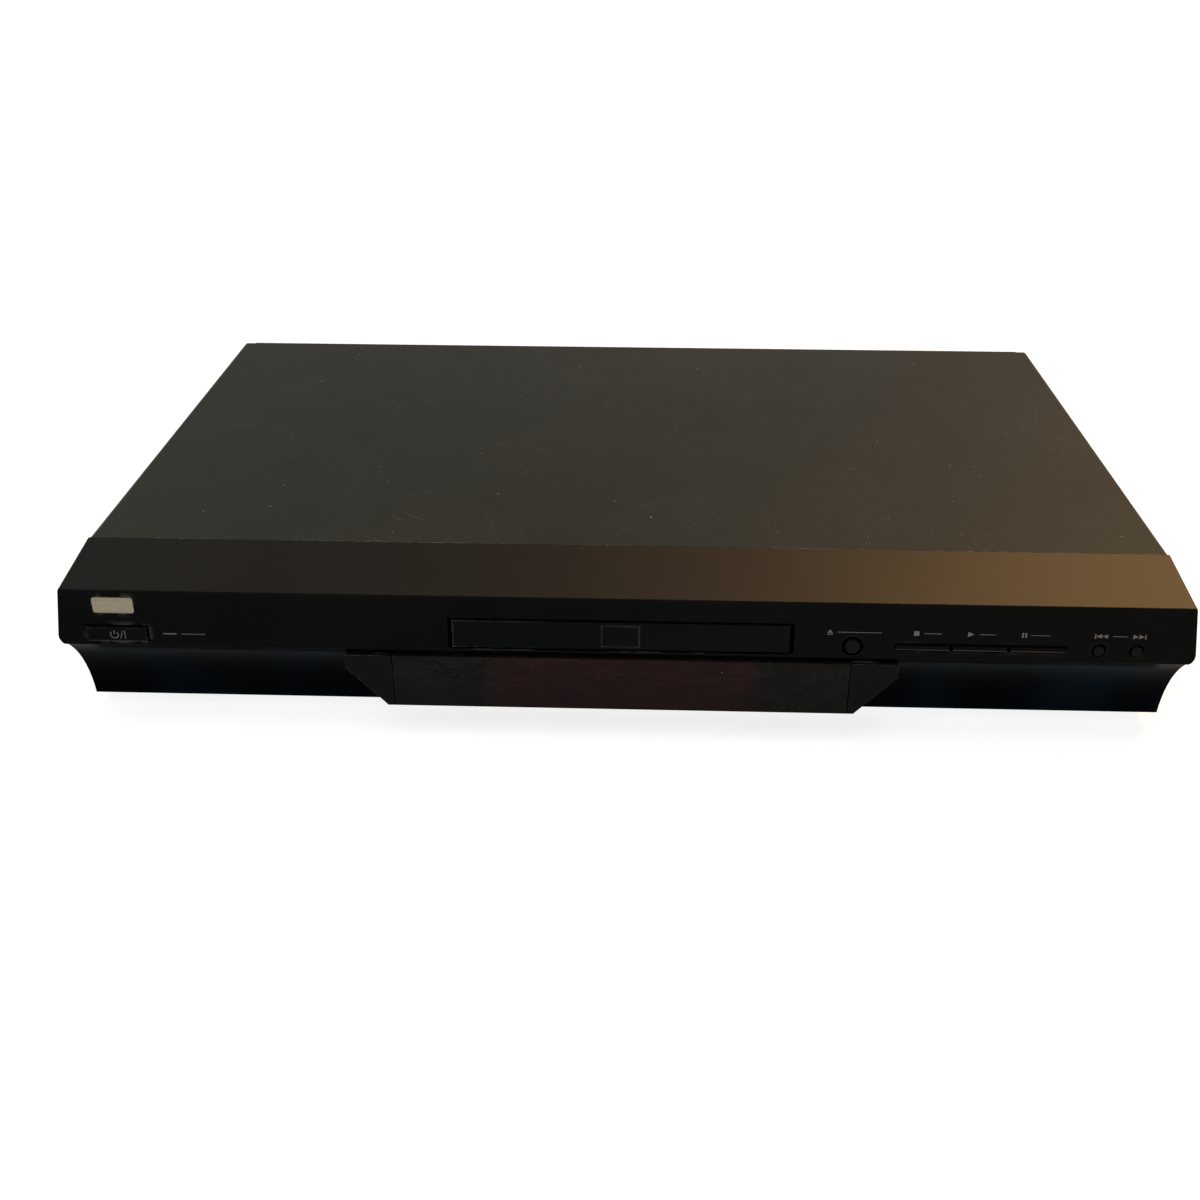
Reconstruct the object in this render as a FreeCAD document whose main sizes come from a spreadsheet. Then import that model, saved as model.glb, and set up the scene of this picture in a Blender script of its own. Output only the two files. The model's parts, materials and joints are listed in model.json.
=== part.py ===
import FreeCAD, Part
import math
import os
import re

import Sketcher

os.makedirs("parts", exist_ok=True)
doc = FreeCAD.newDocument("disc_player")

# Driving sizes in millimetres. The front faces -Y, up is +Z, the floor is at zero.
SIZES = {
    # whole object
    "overall_width": 440.0,
    "overall_depth": 294.6,
    "overall_height": 70.0,
    "foot_height": 6.5,
    "overrun": 1.0,
    # front panel moulding
    "panel_wall": 2.5,
    "bevel_depth": 34.8,
    "bevel_drop": 5.9,
    "cove_height_share": 0.521,
    "cove_depth": 19.0,
    "cove_radius": 54.0,
    "cove_wall": 3.2,
    "lip_round": 1.5,
    "lip_land": 0.4,
    "edge_round": 1.0,
    "end_round": 0.8,
    "end_flare": 2.5,
    "end_draw": 1.4,
    "end_corner": 5.0,
    "end_corner_radius": 6.5,
    "tongue_reach": 6.0,
    "tongue_root": 3.0,
    "tongue_thick": 1.7,
    "tongue_inset": 12.0,
    "ridge_clip_length": 5.0,
    "opening_rise": 1.7,
    "opening_height": 13.8,
    "opening_gap": 1.5,
    "opening_round": 0.6,
    "opening_reach": 8.0,
    "board_post_radius": 2.6,
    "board_post_margin": 4.5,
    # blank badge bar
    "badge_proud": 0.8,
    "badge_width": 16.0,
    "badge_height": 6.6,
    "badge_inset": 21.6,
    "badge_drop": 5.85,
    "badge_round": 1.0,
    # top cover
    "cover_inset": 1.5,
    "cover_sheet": 0.8,
    "cover_bend": 2.0,
    "cover_seam": 0.3,
    "cover_low_gap": 0.6,
    "cover_lip_height": 8.0,
    "cover_lip_inset": 6.0,
    # base pan
    "floor_sheet": 0.8,
    "chassis_side_gap": 0.6,
    "chassis_gap": 0.3,
    "side_flange": 22.0,
    "side_flange_inset": 7.0,
    "front_flange": 18.0,
    "front_flange_inset": 6.0,
    "rear_flange": 7.5,
    "rear_flange_inset": 20.0,
    "standoff_radius": 3.6,
    "board_standoff": 8.0,
    "vent_width": 3.0,
    "vent_length": 26.0,
    "vent_pitch": 8.0,
    "vent_count": 8,
    # rear panel
    "rear_sheet": 0.8,
    "rear_vent_width": 2.5,
    "rear_vent_length_share": 0.35,
    "rear_vent_pitch": 6.5,
    "rear_vent_count": 14,
    "rear_vent_rise_share": 0.478,
    # screws
    "screw_hole_radius": 1.6,
    "screw_shank_radius": 1.4,
    "screw_length": 5.0,
    "screw_head_radius": 2.8,
    "screw_head_height": 1.9,
    "cover_screw_head_radius": 3.3,
    "cover_screw_head_height": 1.3,
    "cover_screw_length": 5.5,
    "side_screw_rise": 12.0,
    "side_screw_inset": 46.0,
    "rear_screw_share": 0.7,
    "rear_screw_drop": 4.2,
    "rear_screw_rise": 4.6,
    # feet
    "foot_radius": 18.0,
    "foot_pad_radius": 15.5,
    "foot_pad_height": 1.4,
    "foot_side_inset": 45.0,
    "foot_front_inset": 52.0,
    "foot_rear_inset": 34.0,
    # display block
    "block_gap": 2.1,
    "block_setback": 0.2,
    "block_half_top": 107.8,
    "block_slant": 15.8,
    "block_side_height": 5.9,
    "block_rise": 8.4,
    "block_depth": 20.0,
    "window_inset": 2.8,
    "window_thick": 3.0,
    "seam_width": 0.4,
    "seam_depth": 1.6,
    "seam_land": 0.7,
    "sight_inset": 11.2,
    "sight_margin": 3.0,
    "display_inset": 23.2,
    "display_margin": 4.2,
    "display_thick": 7.0,
    "display_board_inset": 2.2,
    "display_board_margin": 1.2,
    "board_thick": 1.6,
    # power button and standby lamp
    "power_width": 23.6,
    "power_height": 6.0,
    "power_gap": 0.6,
    "power_inset": 21.6,
    "power_proud": 1.4,
    "power_round": 0.5,
    "lamp_width": 5.2,
    "lamp_height": 0.6,
    "lamp_spacing": 20.3,
    "lamp_reach": 8.0,
    # keys on the right
    "key_rise": 6.1,
    "key_gap": 0.5,
    "open_key_share": 0.1486,
    "open_key_radius": 3.3,
    "open_key_gap": 0.9,
    "open_key_round": 1.1,
    "strip_start_share": 0.2528,
    "strip_end_share": 0.6908,
    "strip_height": 3.5,
    "strip_split": 0.9,
    "strip_key_round": 0.8,
    "skip_back_share": 0.7697,
    "skip_next_share": 0.8653,
    "skip_key_radius": 2.35,
    "skip_key_gap": 0.5,
    "skip_key_round": 0.9,
    "key_proud": 0.5,
    "key_seat": 0.1,
    "key_flange": 1.2,
    "key_flange_reach": 1.2,
    "key_stem_radius": 1.4,
    "key_stem_length": 1.3,
    # key boards and switches
    "key_board_place": 11.0,
    "key_board_low_share": 0.139,
    "key_board_high_share": 0.897,
    "key_board_side_gap": 5.0,
    "key_board_inner_gap": 7.0,
    "power_board_reach": 56.0,
    "switch_width": 6.0,
    "switch_body": 3.5,
    "switch_plunger": 1.3,
    "switch_plunger_radius": 1.7,
    # tray and door
    "recess_radius": 60.5,
    "small_recess_radius": 40.8,
    "tray_rim": 3.8,
    "tray_front_rim": 12.0,
    "tray_tail": 47.5,
    "tray_rise": 4.9,
    "tray_floor": 1.8,
    "small_recess_step": 1.2,
    "tray_height": 8.4,
    "tray_lane_half": 24.0,
    "tray_lane_rise": 0.9,
    "tray_window_half": 21.0,
    "tray_window_front": 21.0,
    "tray_window_rear": 69.0,
    "tray_window_round": 20.0,
    "tail_pocket_wall": 2.4,
    "tray_notch_radius": 15.0,
    "door_setback": 0.5,
    "door_thick": 3.0,
    "door_overhang": 1.0,
    "door_rise": 2.1,
    "door_height": 12.1,
    "door_round": 0.6,
    "plaque_width": 15.0,
    "plaque_height": 9.6,
    "plaque_line": 0.5,
    "plaque_depth": 0.3,
    "plaque_round": 1.6,
    "travel_margin": 0.5,
    # tray rack and gears
    "gear_module": 1.0,
    "drive_teeth": 24,
    "pinion_teeth": 12,
    "gear_backlash": 0.3,
    "gear_inset": 40.0,
    "gear_thick": 3.4,
    "gear_top_gap": 0.4,
    "gear_bore_gap": 0.05,
    "gear_post_radius": 1.5,
    "gear_collar_radius": 3.0,
    "rack_inset": 10.5,
    "rack_back": 2.4,
    "rack_height": 2.7,
    "pulley_radius": 14.0,
    "pulley_groove": 1.4,
    "pulley_flange": 0.9,
    "pulley_thick": 4.0,
    "motor_pulley_radius": 4.6,
    "motor_pulley_place": 14.0,
    "belt_width": 1.4,
    "belt_gap": 0.3,
    "belt_thick": 1.0,
    # loading motor
    "motor_radius": 12.0,
    "motor_height": 11.0,
    "motor_boss_radius": 3.0,
    "motor_shaft_radius": 1.0,
    "motor_fit": 0.05,
    # loader frame
    "loader_inset": 25.0,
    "loader_tail": 16.0,
    "loader_wall": 2.8,
    "loader_floor": 2.2,
    "loader_drop": 28.6,
    "loader_top_gap": 2.0,
    "tray_side_gap": 0.5,
    "tray_slide_gap": 0.2,
    "ledge_width": 4.3,
    "ledge_thick": 2.0,
    "lip_tab_length": 14.0,
    "deck_drop": 10.1,
    "deck_thick": 2.0,
    "deck_length": 31.0,
    "loader_window_half": 49.0,
    "loader_window_front": 38.0,
    "loader_window_rear": 3.0,
    "ear_length": 12.0,
    "ear_width": 9.4,
    "ear_front_inset": 22.0,
    "ear_rear_inset": 18.0,
    "post_width": 4.0,
    "post_depth": 8.0,
    "post_rise": 4.0,
    "bridge_boss_length": 10.0,
    "bridge_boss_width": 8.0,
    "bridge_boss_height": 14.0,
    # traverse, tilted down about its rear trunnions
    "pivot_arm": 104.0,
    "pivot_drop": 12.6,
    "traverse_lift": 8.0,
    "traverse_half": 46.0,
    "traverse_thick": 3.0,
    "traverse_front": 13.0,
    "traverse_rear": 5.0,
    "traverse_rib": 5.0,
    "traverse_rib_wall": 2.2,
    "traverse_window_half": 27.0,
    "traverse_window_front": 13.0,
    "traverse_window_length": 70.0,
    "trunnion_radius": 2.0,
    "trunnion_gap": 0.06,
    "trunnion_length": 5.4,
    "trunnion_boss": 4.0,
    "lift_pin_radius": 1.5,
    "lift_pin_length": 5.4,
    "lift_pin_half": 22.0,
    "rod_half": 20.0,
    "rod_rise": 6.0,
    "rod_radius": 1.5,
    "rod_gap": 0.05,
    "rod_block": 2.6,
    "rod_block_half": 3.2,
    "rod_block_height": 9.0,
    # cam slider
    "cam_gap": 1.5,
    "cam_thick": 3.0,
    "cam_half": 44.0,
    "cam_travel": 18.0,
    "cam_slot_gap": 0.35,
    "cam_margin": 3.2,
    "cam_guide": 1.6,
    "cam_guide_gap": 0.25,
    "cam_guide_height": 6.0,
    "cam_guide_place": 4.0,
    # spindle motor and turntable
    "spindle_radius": 11.5,
    "spindle_height": 10.3,
    "spindle_shaft_radius": 1.0,
    "table_rise": 16.4,
    "table_radius": 15.0,
    "table_thick": 2.4,
    "hub_radius": 7.3,
    "hub_height": 2.8,
    "hub_step": 0.9,
    "table_bore_gap": 0.05,
    # pickup sled
    "pickup_half": 24.0,
    "pickup_length": 31.0,
    "pickup_front": 10.5,
    "pickup_low": 3.0,
    "pickup_high": 10.5,
    "pickup_first": 24.0,
    "pickup_travel": 32.0,
    "turret_radius": 7.0,
    "turret_height": 3.0,
    "lens_radius": 3.0,
    "lens_height": 1.5,
    "nut_width": 5.8,
    "nut_length": 9.0,
    # lead screw and sled motor
    "screw_line": 33.0,
    "lead_screw_radius": 1.8,
    "lead_screw_gap": 0.06,
    "lead_screw_front": 1.0,
    "nut_gap": 0.35,
    "sled_motor_radius": 6.0,
    "sled_motor_length": 15.0,
    "sled_motor_gap": 0.4,
    # clamp bridge and clamper
    "bridge_thick": 1.6,
    "bridge_half_depth": 20.0,
    "bridge_rib": 2.2,
    "bridge_rib_wall": 1.8,
    "clamper_radius": 14.0,
    "clamper_gap": 0.6,
    "clamper_flange": 3.5,
    "clamper_flange_thick": 1.8,
    "clamper_seat": 0.1,
    "clamper_rise": 0.8,
    "clamper_well_gap": 1.1,
    "clamper_well_rise": 1.4,
    # boards
    "board_loader_gap": 8.0,
    "board_side_gap": 8.0,
    "board_rear_gap": 1.4,
    "main_board_share": 0.753,
    "power_board_share": 0.6685,
    "board_screw_margin": 6.0,
    # main board parts
    "decoder_width": 28.0,
    "decoder_height": 3.4,
    "memory_width": 11.0,
    "memory_length": 22.0,
    "memory_height": 1.4,
    "driver_width": 16.0,
    "driver_length": 9.0,
    "driver_height": 2.6,
    "connector_width": 24.0,
    "connector_depth": 6.0,
    "connector_height": 6.5,
    "small_can_radius": 4.0,
    "small_can_height": 11.0,
    "small_can_pitch": 12.0,
    # power board parts
    "core_width": 34.0,
    "core_depth": 30.0,
    "core_height": 12.0,
    "bobbin_width": 26.0,
    "bobbin_depth": 22.0,
    "bobbin_height": 28.0,
    "bulk_can_radius": 11.0,
    "bulk_can_height": 34.0,
    "filter_can_radius": 5.0,
    "filter_can_height": 20.0,
    "filter_can_pitch": 14.0,
    "sink_thick": 2.0,
    "sink_length": 46.0,
    "sink_height": 30.0,
    "sink_fin": 9.0,
    # mains inlet
    "inlet_width": 22.0,
    "inlet_height": 16.0,
    "inlet_depth": 18.0,
    "inlet_collar_width": 19.6,
    "inlet_collar_height": 12.6,
    "inlet_proud": 1.0,
    "inlet_mouth_width": 15.4,
    "inlet_mouth_height": 8.2,
    "inlet_mouth_round": 3.9,
    "inlet_mouth_depth": 12.5,
    "inlet_side_inset": 34.0,
    "inlet_pin_radius": 1.2,
    "inlet_pin_spacing": 8.6,
    "inlet_pin_length": 9.5,
    # rear sockets
    "jack_reach": 8.2,
    "jack_radius": 4.15,
    "jack_bore_radius": 2.6,
    "jack_root_radius": 4.4,
    "jack_ring_radius": 5.2,
    "jack_ring_reach": 1.5,
    "jack_fit": 0.05,
    "jack_first": 18.0,
    "jack_column": 24.0,
    "jack_rise_share": 0.18,
    "jack_row_share": 0.268,
    "jack_block_width": 14.0,
    "jack_block_depth": 13.0,
    "jack_block_margin": 7.5,
    "video_socket_radius": 5.9,
    "video_socket_bore": 4.8,
    "video_socket_depth": 9.0,
    "video_socket_floor": 1.5,
    "optical_width": 9.4,
    "optical_shutter": 7.0,
    "optical_shutter_depth": 0.8,
    "socket_proud": 1.2,
    # wiring inside
    "ribbon_width": 20.0,
    "ribbon_thick": 0.4,
    "ribbon_drop": 9.0,
    "harness_width": 9.0,
    "harness_thick": 1.6,
    "harness_rise": 22.0,
}

sheet = doc.addObject("Spreadsheet::Sheet", "dims")
for row, (alias, number) in enumerate(SIZES.items(), 1):
    sheet.set(f"A{row}", alias)
    sheet.set(f"B{row}", str(number))
    sheet.setAlias(f"B{row}", alias)
doc.recompute()

WORD = re.compile(r"[a-z][a-z0-9_]*")
FUNCTIONS = ("sqrt", "asin", "floor")


def bind(text):
    """Turn the size names in a sum into references to the sheet."""
    return WORD.sub(lambda m: m.group() if m.group() in FUNCTIONS else "dims." + m.group(), text)


def value(text):
    """Number that a sum of sizes comes to."""
    found = sheet.evalExpression(bind(text))
    return float(getattr(found, "Value", found))


def rect(x0, y0, x1, y1):
    """Rectangle between two corners."""
    return ("rect", (x0, y0, x1, y1))


def middle_rect(x, y, wide, high):
    """Rectangle about a centre."""
    return rect(f"{x} - {wide} / 2", f"{y} - {high} / 2", f"{x} + {wide} / 2", f"{y} + {high} / 2")


def disc(x, y, size):
    """Circle about a centre."""
    return ("disc", (x, y, size))


def outline(*corners):
    """Closed outline; a corner may carry the arc that leads on from it."""
    return ("outline", corners)


def by_radius(size, turn):
    """Arc of a known radius; turn is 1 anticlockwise and -1 clockwise."""
    return ("radius", size, turn)


def about(x, y, turn):
    """Arc about a known centre."""
    return ("centre", x, y, turn)


def soft_rect(x0, y0, x1, y1, soft):
    """Rectangle with rounded corners."""
    return outline(
        (f"{x0} + {soft}", y0),
        (f"{x1} - {soft}", y0, about(f"{x1} - {soft}", f"{y0} + {soft}", 1)),
        (x1, f"{y0} + {soft}"),
        (x1, f"{y1} - {soft}", about(f"{x1} - {soft}", f"{y1} - {soft}", 1)),
        (f"{x1} - {soft}", y1),
        (f"{x0} + {soft}", y1, about(f"{x0} + {soft}", f"{y1} - {soft}", 1)),
        (x0, f"{y1} - {soft}"),
        (x0, f"{y0} + {soft}", about(f"{x0} + {soft}", f"{y0} + {soft}", 1)),
    )


PLANES = {"top": "XY_Plane", "front": "XZ_Plane", "side": "YZ_Plane"}
PIECES = []


class Piece:
    """One sub-part: a body with sketches bound to the sheet."""

    def __init__(self, label, at=None, tilt=None):
        self.body = doc.addObject("PartDesign::Body", label)
        self.body.Label = label
        if at:
            for axis, text in zip("xyz", at):
                self.body.setExpression(f"Placement.Base.{axis}", bind(text))
        if tilt:
            self.body.Placement = FreeCAD.Placement(
                self.body.Placement.Base, FreeCAD.Rotation(FreeCAD.Vector(1, 0, 0), tilt))
        PIECES.append(self.body)

    def sketch(self, plane, level, loops):
        """Draw loops on an origin plane moved along its normal."""
        drawing = self.body.newObject("Sketcher::SketchObject", self.body.Label + "_sketch")
        support = next(o for o in self.body.Origin.OriginFeatures if o.Role == PLANES[plane])
        drawing.AttachmentSupport = [(support, "")]
        drawing.MapMode = "FlatFace"
        sign = "-" if plane == "front" else ""
        drawing.setExpression("AttachmentOffset.Base.z", bind(f"{sign}({level})"))
        for kind, sizes in loops:
            DRAW[kind](drawing, sizes)
        return drawing

    def feature(self, kind, plane, level, loops, length, both, back):
        """Add one extruded feature."""
        drawing = self.sketch(plane, level, loops)
        made = self.body.newObject("PartDesign::" + kind, self.body.Label + "_" + kind.lower())
        made.Profile = drawing
        made.setExpression("Length", bind(length))
        if both:
            made.Midplane = True
        else:
            onward = (plane == "front") if kind == "Pad" else (plane != "front")
            made.Reversed = onward != back
        self.body.Tip = made
        return made

    def pad(self, plane, level, loops, length, both=False, back=False):
        """Add material from a level onwards along its axis."""
        return self.feature("Pad", plane, level, loops, length, both, back)

    def cut(self, plane, level, loops, length, both=False, back=False):
        """Remove material from a level onwards along its axis."""
        return self.feature("Pocket", plane, level, loops, length, both, back)

    def round_edges(self, wanted, size):
        """Round the edges that a test picks."""
        doc.recompute()
        base = self.body.Tip
        names = [f"Edge{n}" for n, edge in enumerate(base.Shape.Edges, 1) if wanted(edge)]
        made = self.body.newObject("PartDesign::Fillet", self.body.Label + "_round")
        made.Base = (base, names)
        made.setExpression("Radius", bind(size))
        self.body.Tip = made
        return made

    def row(self, feature, axis, length, count):
        """Repeat a feature along an origin axis."""
        made = self.body.newObject("PartDesign::LinearPattern", self.body.Label + "_row")
        line = next(o for o in self.body.Origin.OriginFeatures if o.Role == axis)
        made.Originals = [feature]
        made.Direction = (line, [""])
        made.setExpression("Length", bind(length))
        made.setExpression("Occurrences", bind(count))
        self.body.Tip = made
        return made


def hold(drawing, kind, geometry, point, text):
    """Fix one coordinate of a point to a sum of sizes."""
    number = drawing.addConstraint(
        Sketcher.Constraint(kind, -1, 1, geometry, point, value(text)))
    drawing.setExpression(f"Constraints[{number}]", bind(text))


def draw_rect(drawing, sizes):
    x0, y0, x1, y1 = (value(text) for text in sizes)
    corners = [FreeCAD.Vector(*c) for c in ((x0, y0), (x1, y0), (x1, y1), (x0, y1))]
    first = drawing.GeometryCount
    for n in range(4):
        drawing.addGeometry(Part.LineSegment(corners[n], corners[(n + 1) % 4]))
    for n in range(4):
        drawing.addConstraint(
            Sketcher.Constraint("Coincident", first + n, 2, first + (n + 1) % 4, 1))
        drawing.addConstraint(Sketcher.Constraint("Vertical" if n % 2 else "Horizontal", first + n))
    hold(drawing, "DistanceX", first, 1, sizes[0])
    hold(drawing, "DistanceY", first, 1, sizes[1])
    hold(drawing, "DistanceX", first + 2, 1, sizes[2])
    hold(drawing, "DistanceY", first + 2, 1, sizes[3])


def draw_disc(drawing, sizes):
    x, y, size = (value(text) for text in sizes)
    ring = Part.Circle(FreeCAD.Vector(x, y), FreeCAD.Vector(0, 0, 1), size)
    first = drawing.addGeometry(ring)
    number = drawing.addConstraint(Sketcher.Constraint("Radius", first, size))
    drawing.setExpression(f"Constraints[{number}]", bind(sizes[2]))
    hold(drawing, "DistanceX", first, 3, sizes[0])
    hold(drawing, "DistanceY", first, 3, sizes[1])


def draw_outline(drawing, corners):
    places = [FreeCAD.Vector(value(c[0]), value(c[1])) for c in corners]
    count = len(corners)
    ends = []
    first = drawing.GeometryCount
    for n, corner in enumerate(corners):
        here, there = places[n], places[(n + 1) % count]
        if len(corner) == 2:
            drawing.addGeometry(Part.LineSegment(here, there))
            ends.append((1, 2))
            continue
        arc = corner[2]
        turn = arc[-1]
        if arc[0] == "centre":
            heart = FreeCAD.Vector(value(arc[1]), value(arc[2]))
        else:
            chord = there - here
            reach = math.sqrt(value(arc[1]) ** 2 - chord.Length ** 2 / 4)
            left = FreeCAD.Vector(-chord.y, chord.x).normalize()
            heart = (here + there) / 2 + left * reach * turn
        start, stop = (here, there) if turn > 0 else (there, here)
        begin = math.atan2(start.y - heart.y, start.x - heart.x)
        finish = math.atan2(stop.y - heart.y, stop.x - heart.x)
        finish += 2 * math.pi if finish < begin else 0
        ring = Part.Circle(heart, FreeCAD.Vector(0, 0, 1), (start - heart).Length)
        drawing.addGeometry(Part.ArcOfCircle(ring, begin, finish))
        ends.append((1, 2) if turn > 0 else (2, 1))
    for n in range(count):
        onward = (n + 1) % count
        drawing.addConstraint(
            Sketcher.Constraint("Coincident", first + n, ends[n][1], first + onward, ends[onward][0]))
        hold(drawing, "DistanceX", first + n, ends[n][0], corners[n][0])
        hold(drawing, "DistanceY", first + n, ends[n][0], corners[n][1])
    for n, corner in enumerate(corners):
        if len(corner) == 2:
            continue
        arc = corner[2]
        chord = places[(n + 1) % count] - places[n]
        if arc[0] == "radius":
            number = drawing.addConstraint(Sketcher.Constraint("Radius", first + n, value(arc[1])))
            drawing.setExpression(f"Constraints[{number}]", bind(arc[1]))
        elif abs(chord.y) >= abs(chord.x):
            hold(drawing, "DistanceX", first + n, 3, arc[1])
        else:
            hold(drawing, "DistanceY", first + n, 3, arc[2])


DRAW = {"rect": draw_rect, "disc": draw_disc, "outline": draw_outline}

# Places that several pieces share, as sums of the sizes.
END = "(overall_width / 2)"
SIDE = "(overall_width / 2 - end_flare)"
FACE = "(power_proud - overall_depth / 2)"
FACE_IN = f"({FACE} + panel_wall)"
REAR = "(overall_depth / 2 - jack_reach)"
REAR_IN = f"({REAR} - rear_sheet)"
BASE = "foot_height"
FLOOR = "(foot_height + floor_sheet)"
TOP = "overall_height"
RIDGE = f"({FACE} + bevel_depth)"
FACE_TOP = "(overall_height - bevel_drop)"
FACE_LOW = "(foot_height + cove_height_share * (overall_height - foot_height))"
BEVEL = "sqrt(bevel_depth ^ 2 + bevel_drop ^ 2)"
RISE = f"(bevel_drop / {BEVEL})"
RUN = f"(bevel_depth / {BEVEL})"
COVER_HALF = f"({SIDE} - cover_inset)"
COVER_IN = "(overall_height - cover_sheet)"
CHASSIS_HALF = f"({COVER_HALF} - cover_sheet - chassis_side_gap)"
CHASSIS_FRONT = f"({FACE} + cove_depth + cove_wall + chassis_gap)"
TRAY_HALF = "(recess_radius + tray_rim)"
TRAY_FRONT = f"({FACE} + door_setback + door_thick)"
HEART = f"({TRAY_FRONT} + tray_front_rim + recess_radius)"
TRAY_REAR = f"({HEART} + recess_radius + tray_tail)"
TRAY_LOW = f"({FACE_LOW} + tray_rise)"
SMALL_SEAT = f"({TRAY_LOW} + tray_floor)"
DISC_SEAT = f"({SMALL_SEAT} + small_recess_step)"
TRAY_TOP = f"({TRAY_LOW} + tray_height)"
DOOR_HALF = f"({TRAY_HALF} + door_overhang)"
OPENING_HALF = f"({DOOR_HALF} + opening_gap)"
OPENING_LOW = f"({FACE_LOW} + opening_rise)"
KEY_Z = f"({FACE_LOW} + key_rise)"
KEY_SPAN = f"({SIDE} - {OPENING_HALF})"
POWER_X = f"(power_inset - {SIDE})"
LAMP_X = f"({POWER_X} + lamp_spacing)"
KEY_BOARD = f"({FACE} + key_board_place)"
BLOCK_TOP = f"({FACE_LOW} - block_gap)"
BLOCK_LOW = f"({BASE} + block_rise)"
BLOCK_FRONT = f"({FACE} + block_setback)"
BLOCK_REAR = f"({FACE} + block_depth)"
BLOCK_LOW_HALF = "(block_half_top - block_slant)"
WINDOW_HALF = f"({BLOCK_LOW_HALF} - window_inset)"
SIGHT_HALF = f"({WINDOW_HALF} - sight_inset)"
DISPLAY_HALF = f"({WINDOW_HALF} - display_inset)"
DISPLAY_BOARD_HALF = f"({WINDOW_HALF} - display_board_inset)"


def key_x(share):
    """Place of a key between the tray opening and the right end."""
    return f"({OPENING_HALF} + {share} * {KEY_SPAN})"


BLOCK_OUTLINE = outline(
    (f"-{BLOCK_LOW_HALF}", BLOCK_LOW),
    (BLOCK_LOW_HALF, BLOCK_LOW),
    ("block_half_top", f"{BLOCK_TOP} - block_side_height"),
    ("block_half_top", BLOCK_TOP),
    ("-block_half_top", BLOCK_TOP),
    ("-block_half_top", f"{BLOCK_TOP} - block_side_height"),
)
STRIP_X0 = key_x("strip_start_share")
STRIP_X1 = key_x("strip_end_share")
STRIP_LOW = f"({KEY_Z} - strip_height / 2)"
STRIP_HIGH = f"({KEY_Z} + strip_height / 2)"


def pill(x0, x1, low, high):
    """Slot outline with round ends."""
    half = f"({high} - {low}) / 2"
    mid = f"({low} + {high}) / 2"
    return outline(
        (f"{x0} + {half}", low),
        (f"{x1} - {half}", low, about(f"{x1} - {half}", mid, 1)),
        (f"{x1} - {half}", high),
        (f"{x0} + {half}", high, about(f"{x0} + {half}", mid, 1)),
    )


# Boards behind the front, each on posts of the front panel.
FACE_HEIGHT = f"({FACE_TOP} - {FACE_LOW})"
KEY_LOW = f"({FACE_LOW} + key_board_low_share * {FACE_HEIGHT})"
KEY_HIGH = f"({FACE_LOW} + key_board_high_share * {FACE_HEIGHT})"
KEY_X0 = f"({OPENING_HALF} + key_board_inner_gap)"
KEY_X1 = f"({SIDE} - key_board_side_gap)"
LEFT_X0 = f"(key_board_side_gap - {SIDE})"
LEFT_X1 = f"({LEFT_X0} + power_board_reach)"
BOARD_POSTS = [
    disc(f"{x} + {sign} * board_post_margin", f"{KEY_HIGH} - board_post_margin", "board_post_radius")
    for x, sign in ((KEY_X0, 1), (KEY_X1, -1), (LEFT_X0, 1), (LEFT_X1, -1))
]


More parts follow.
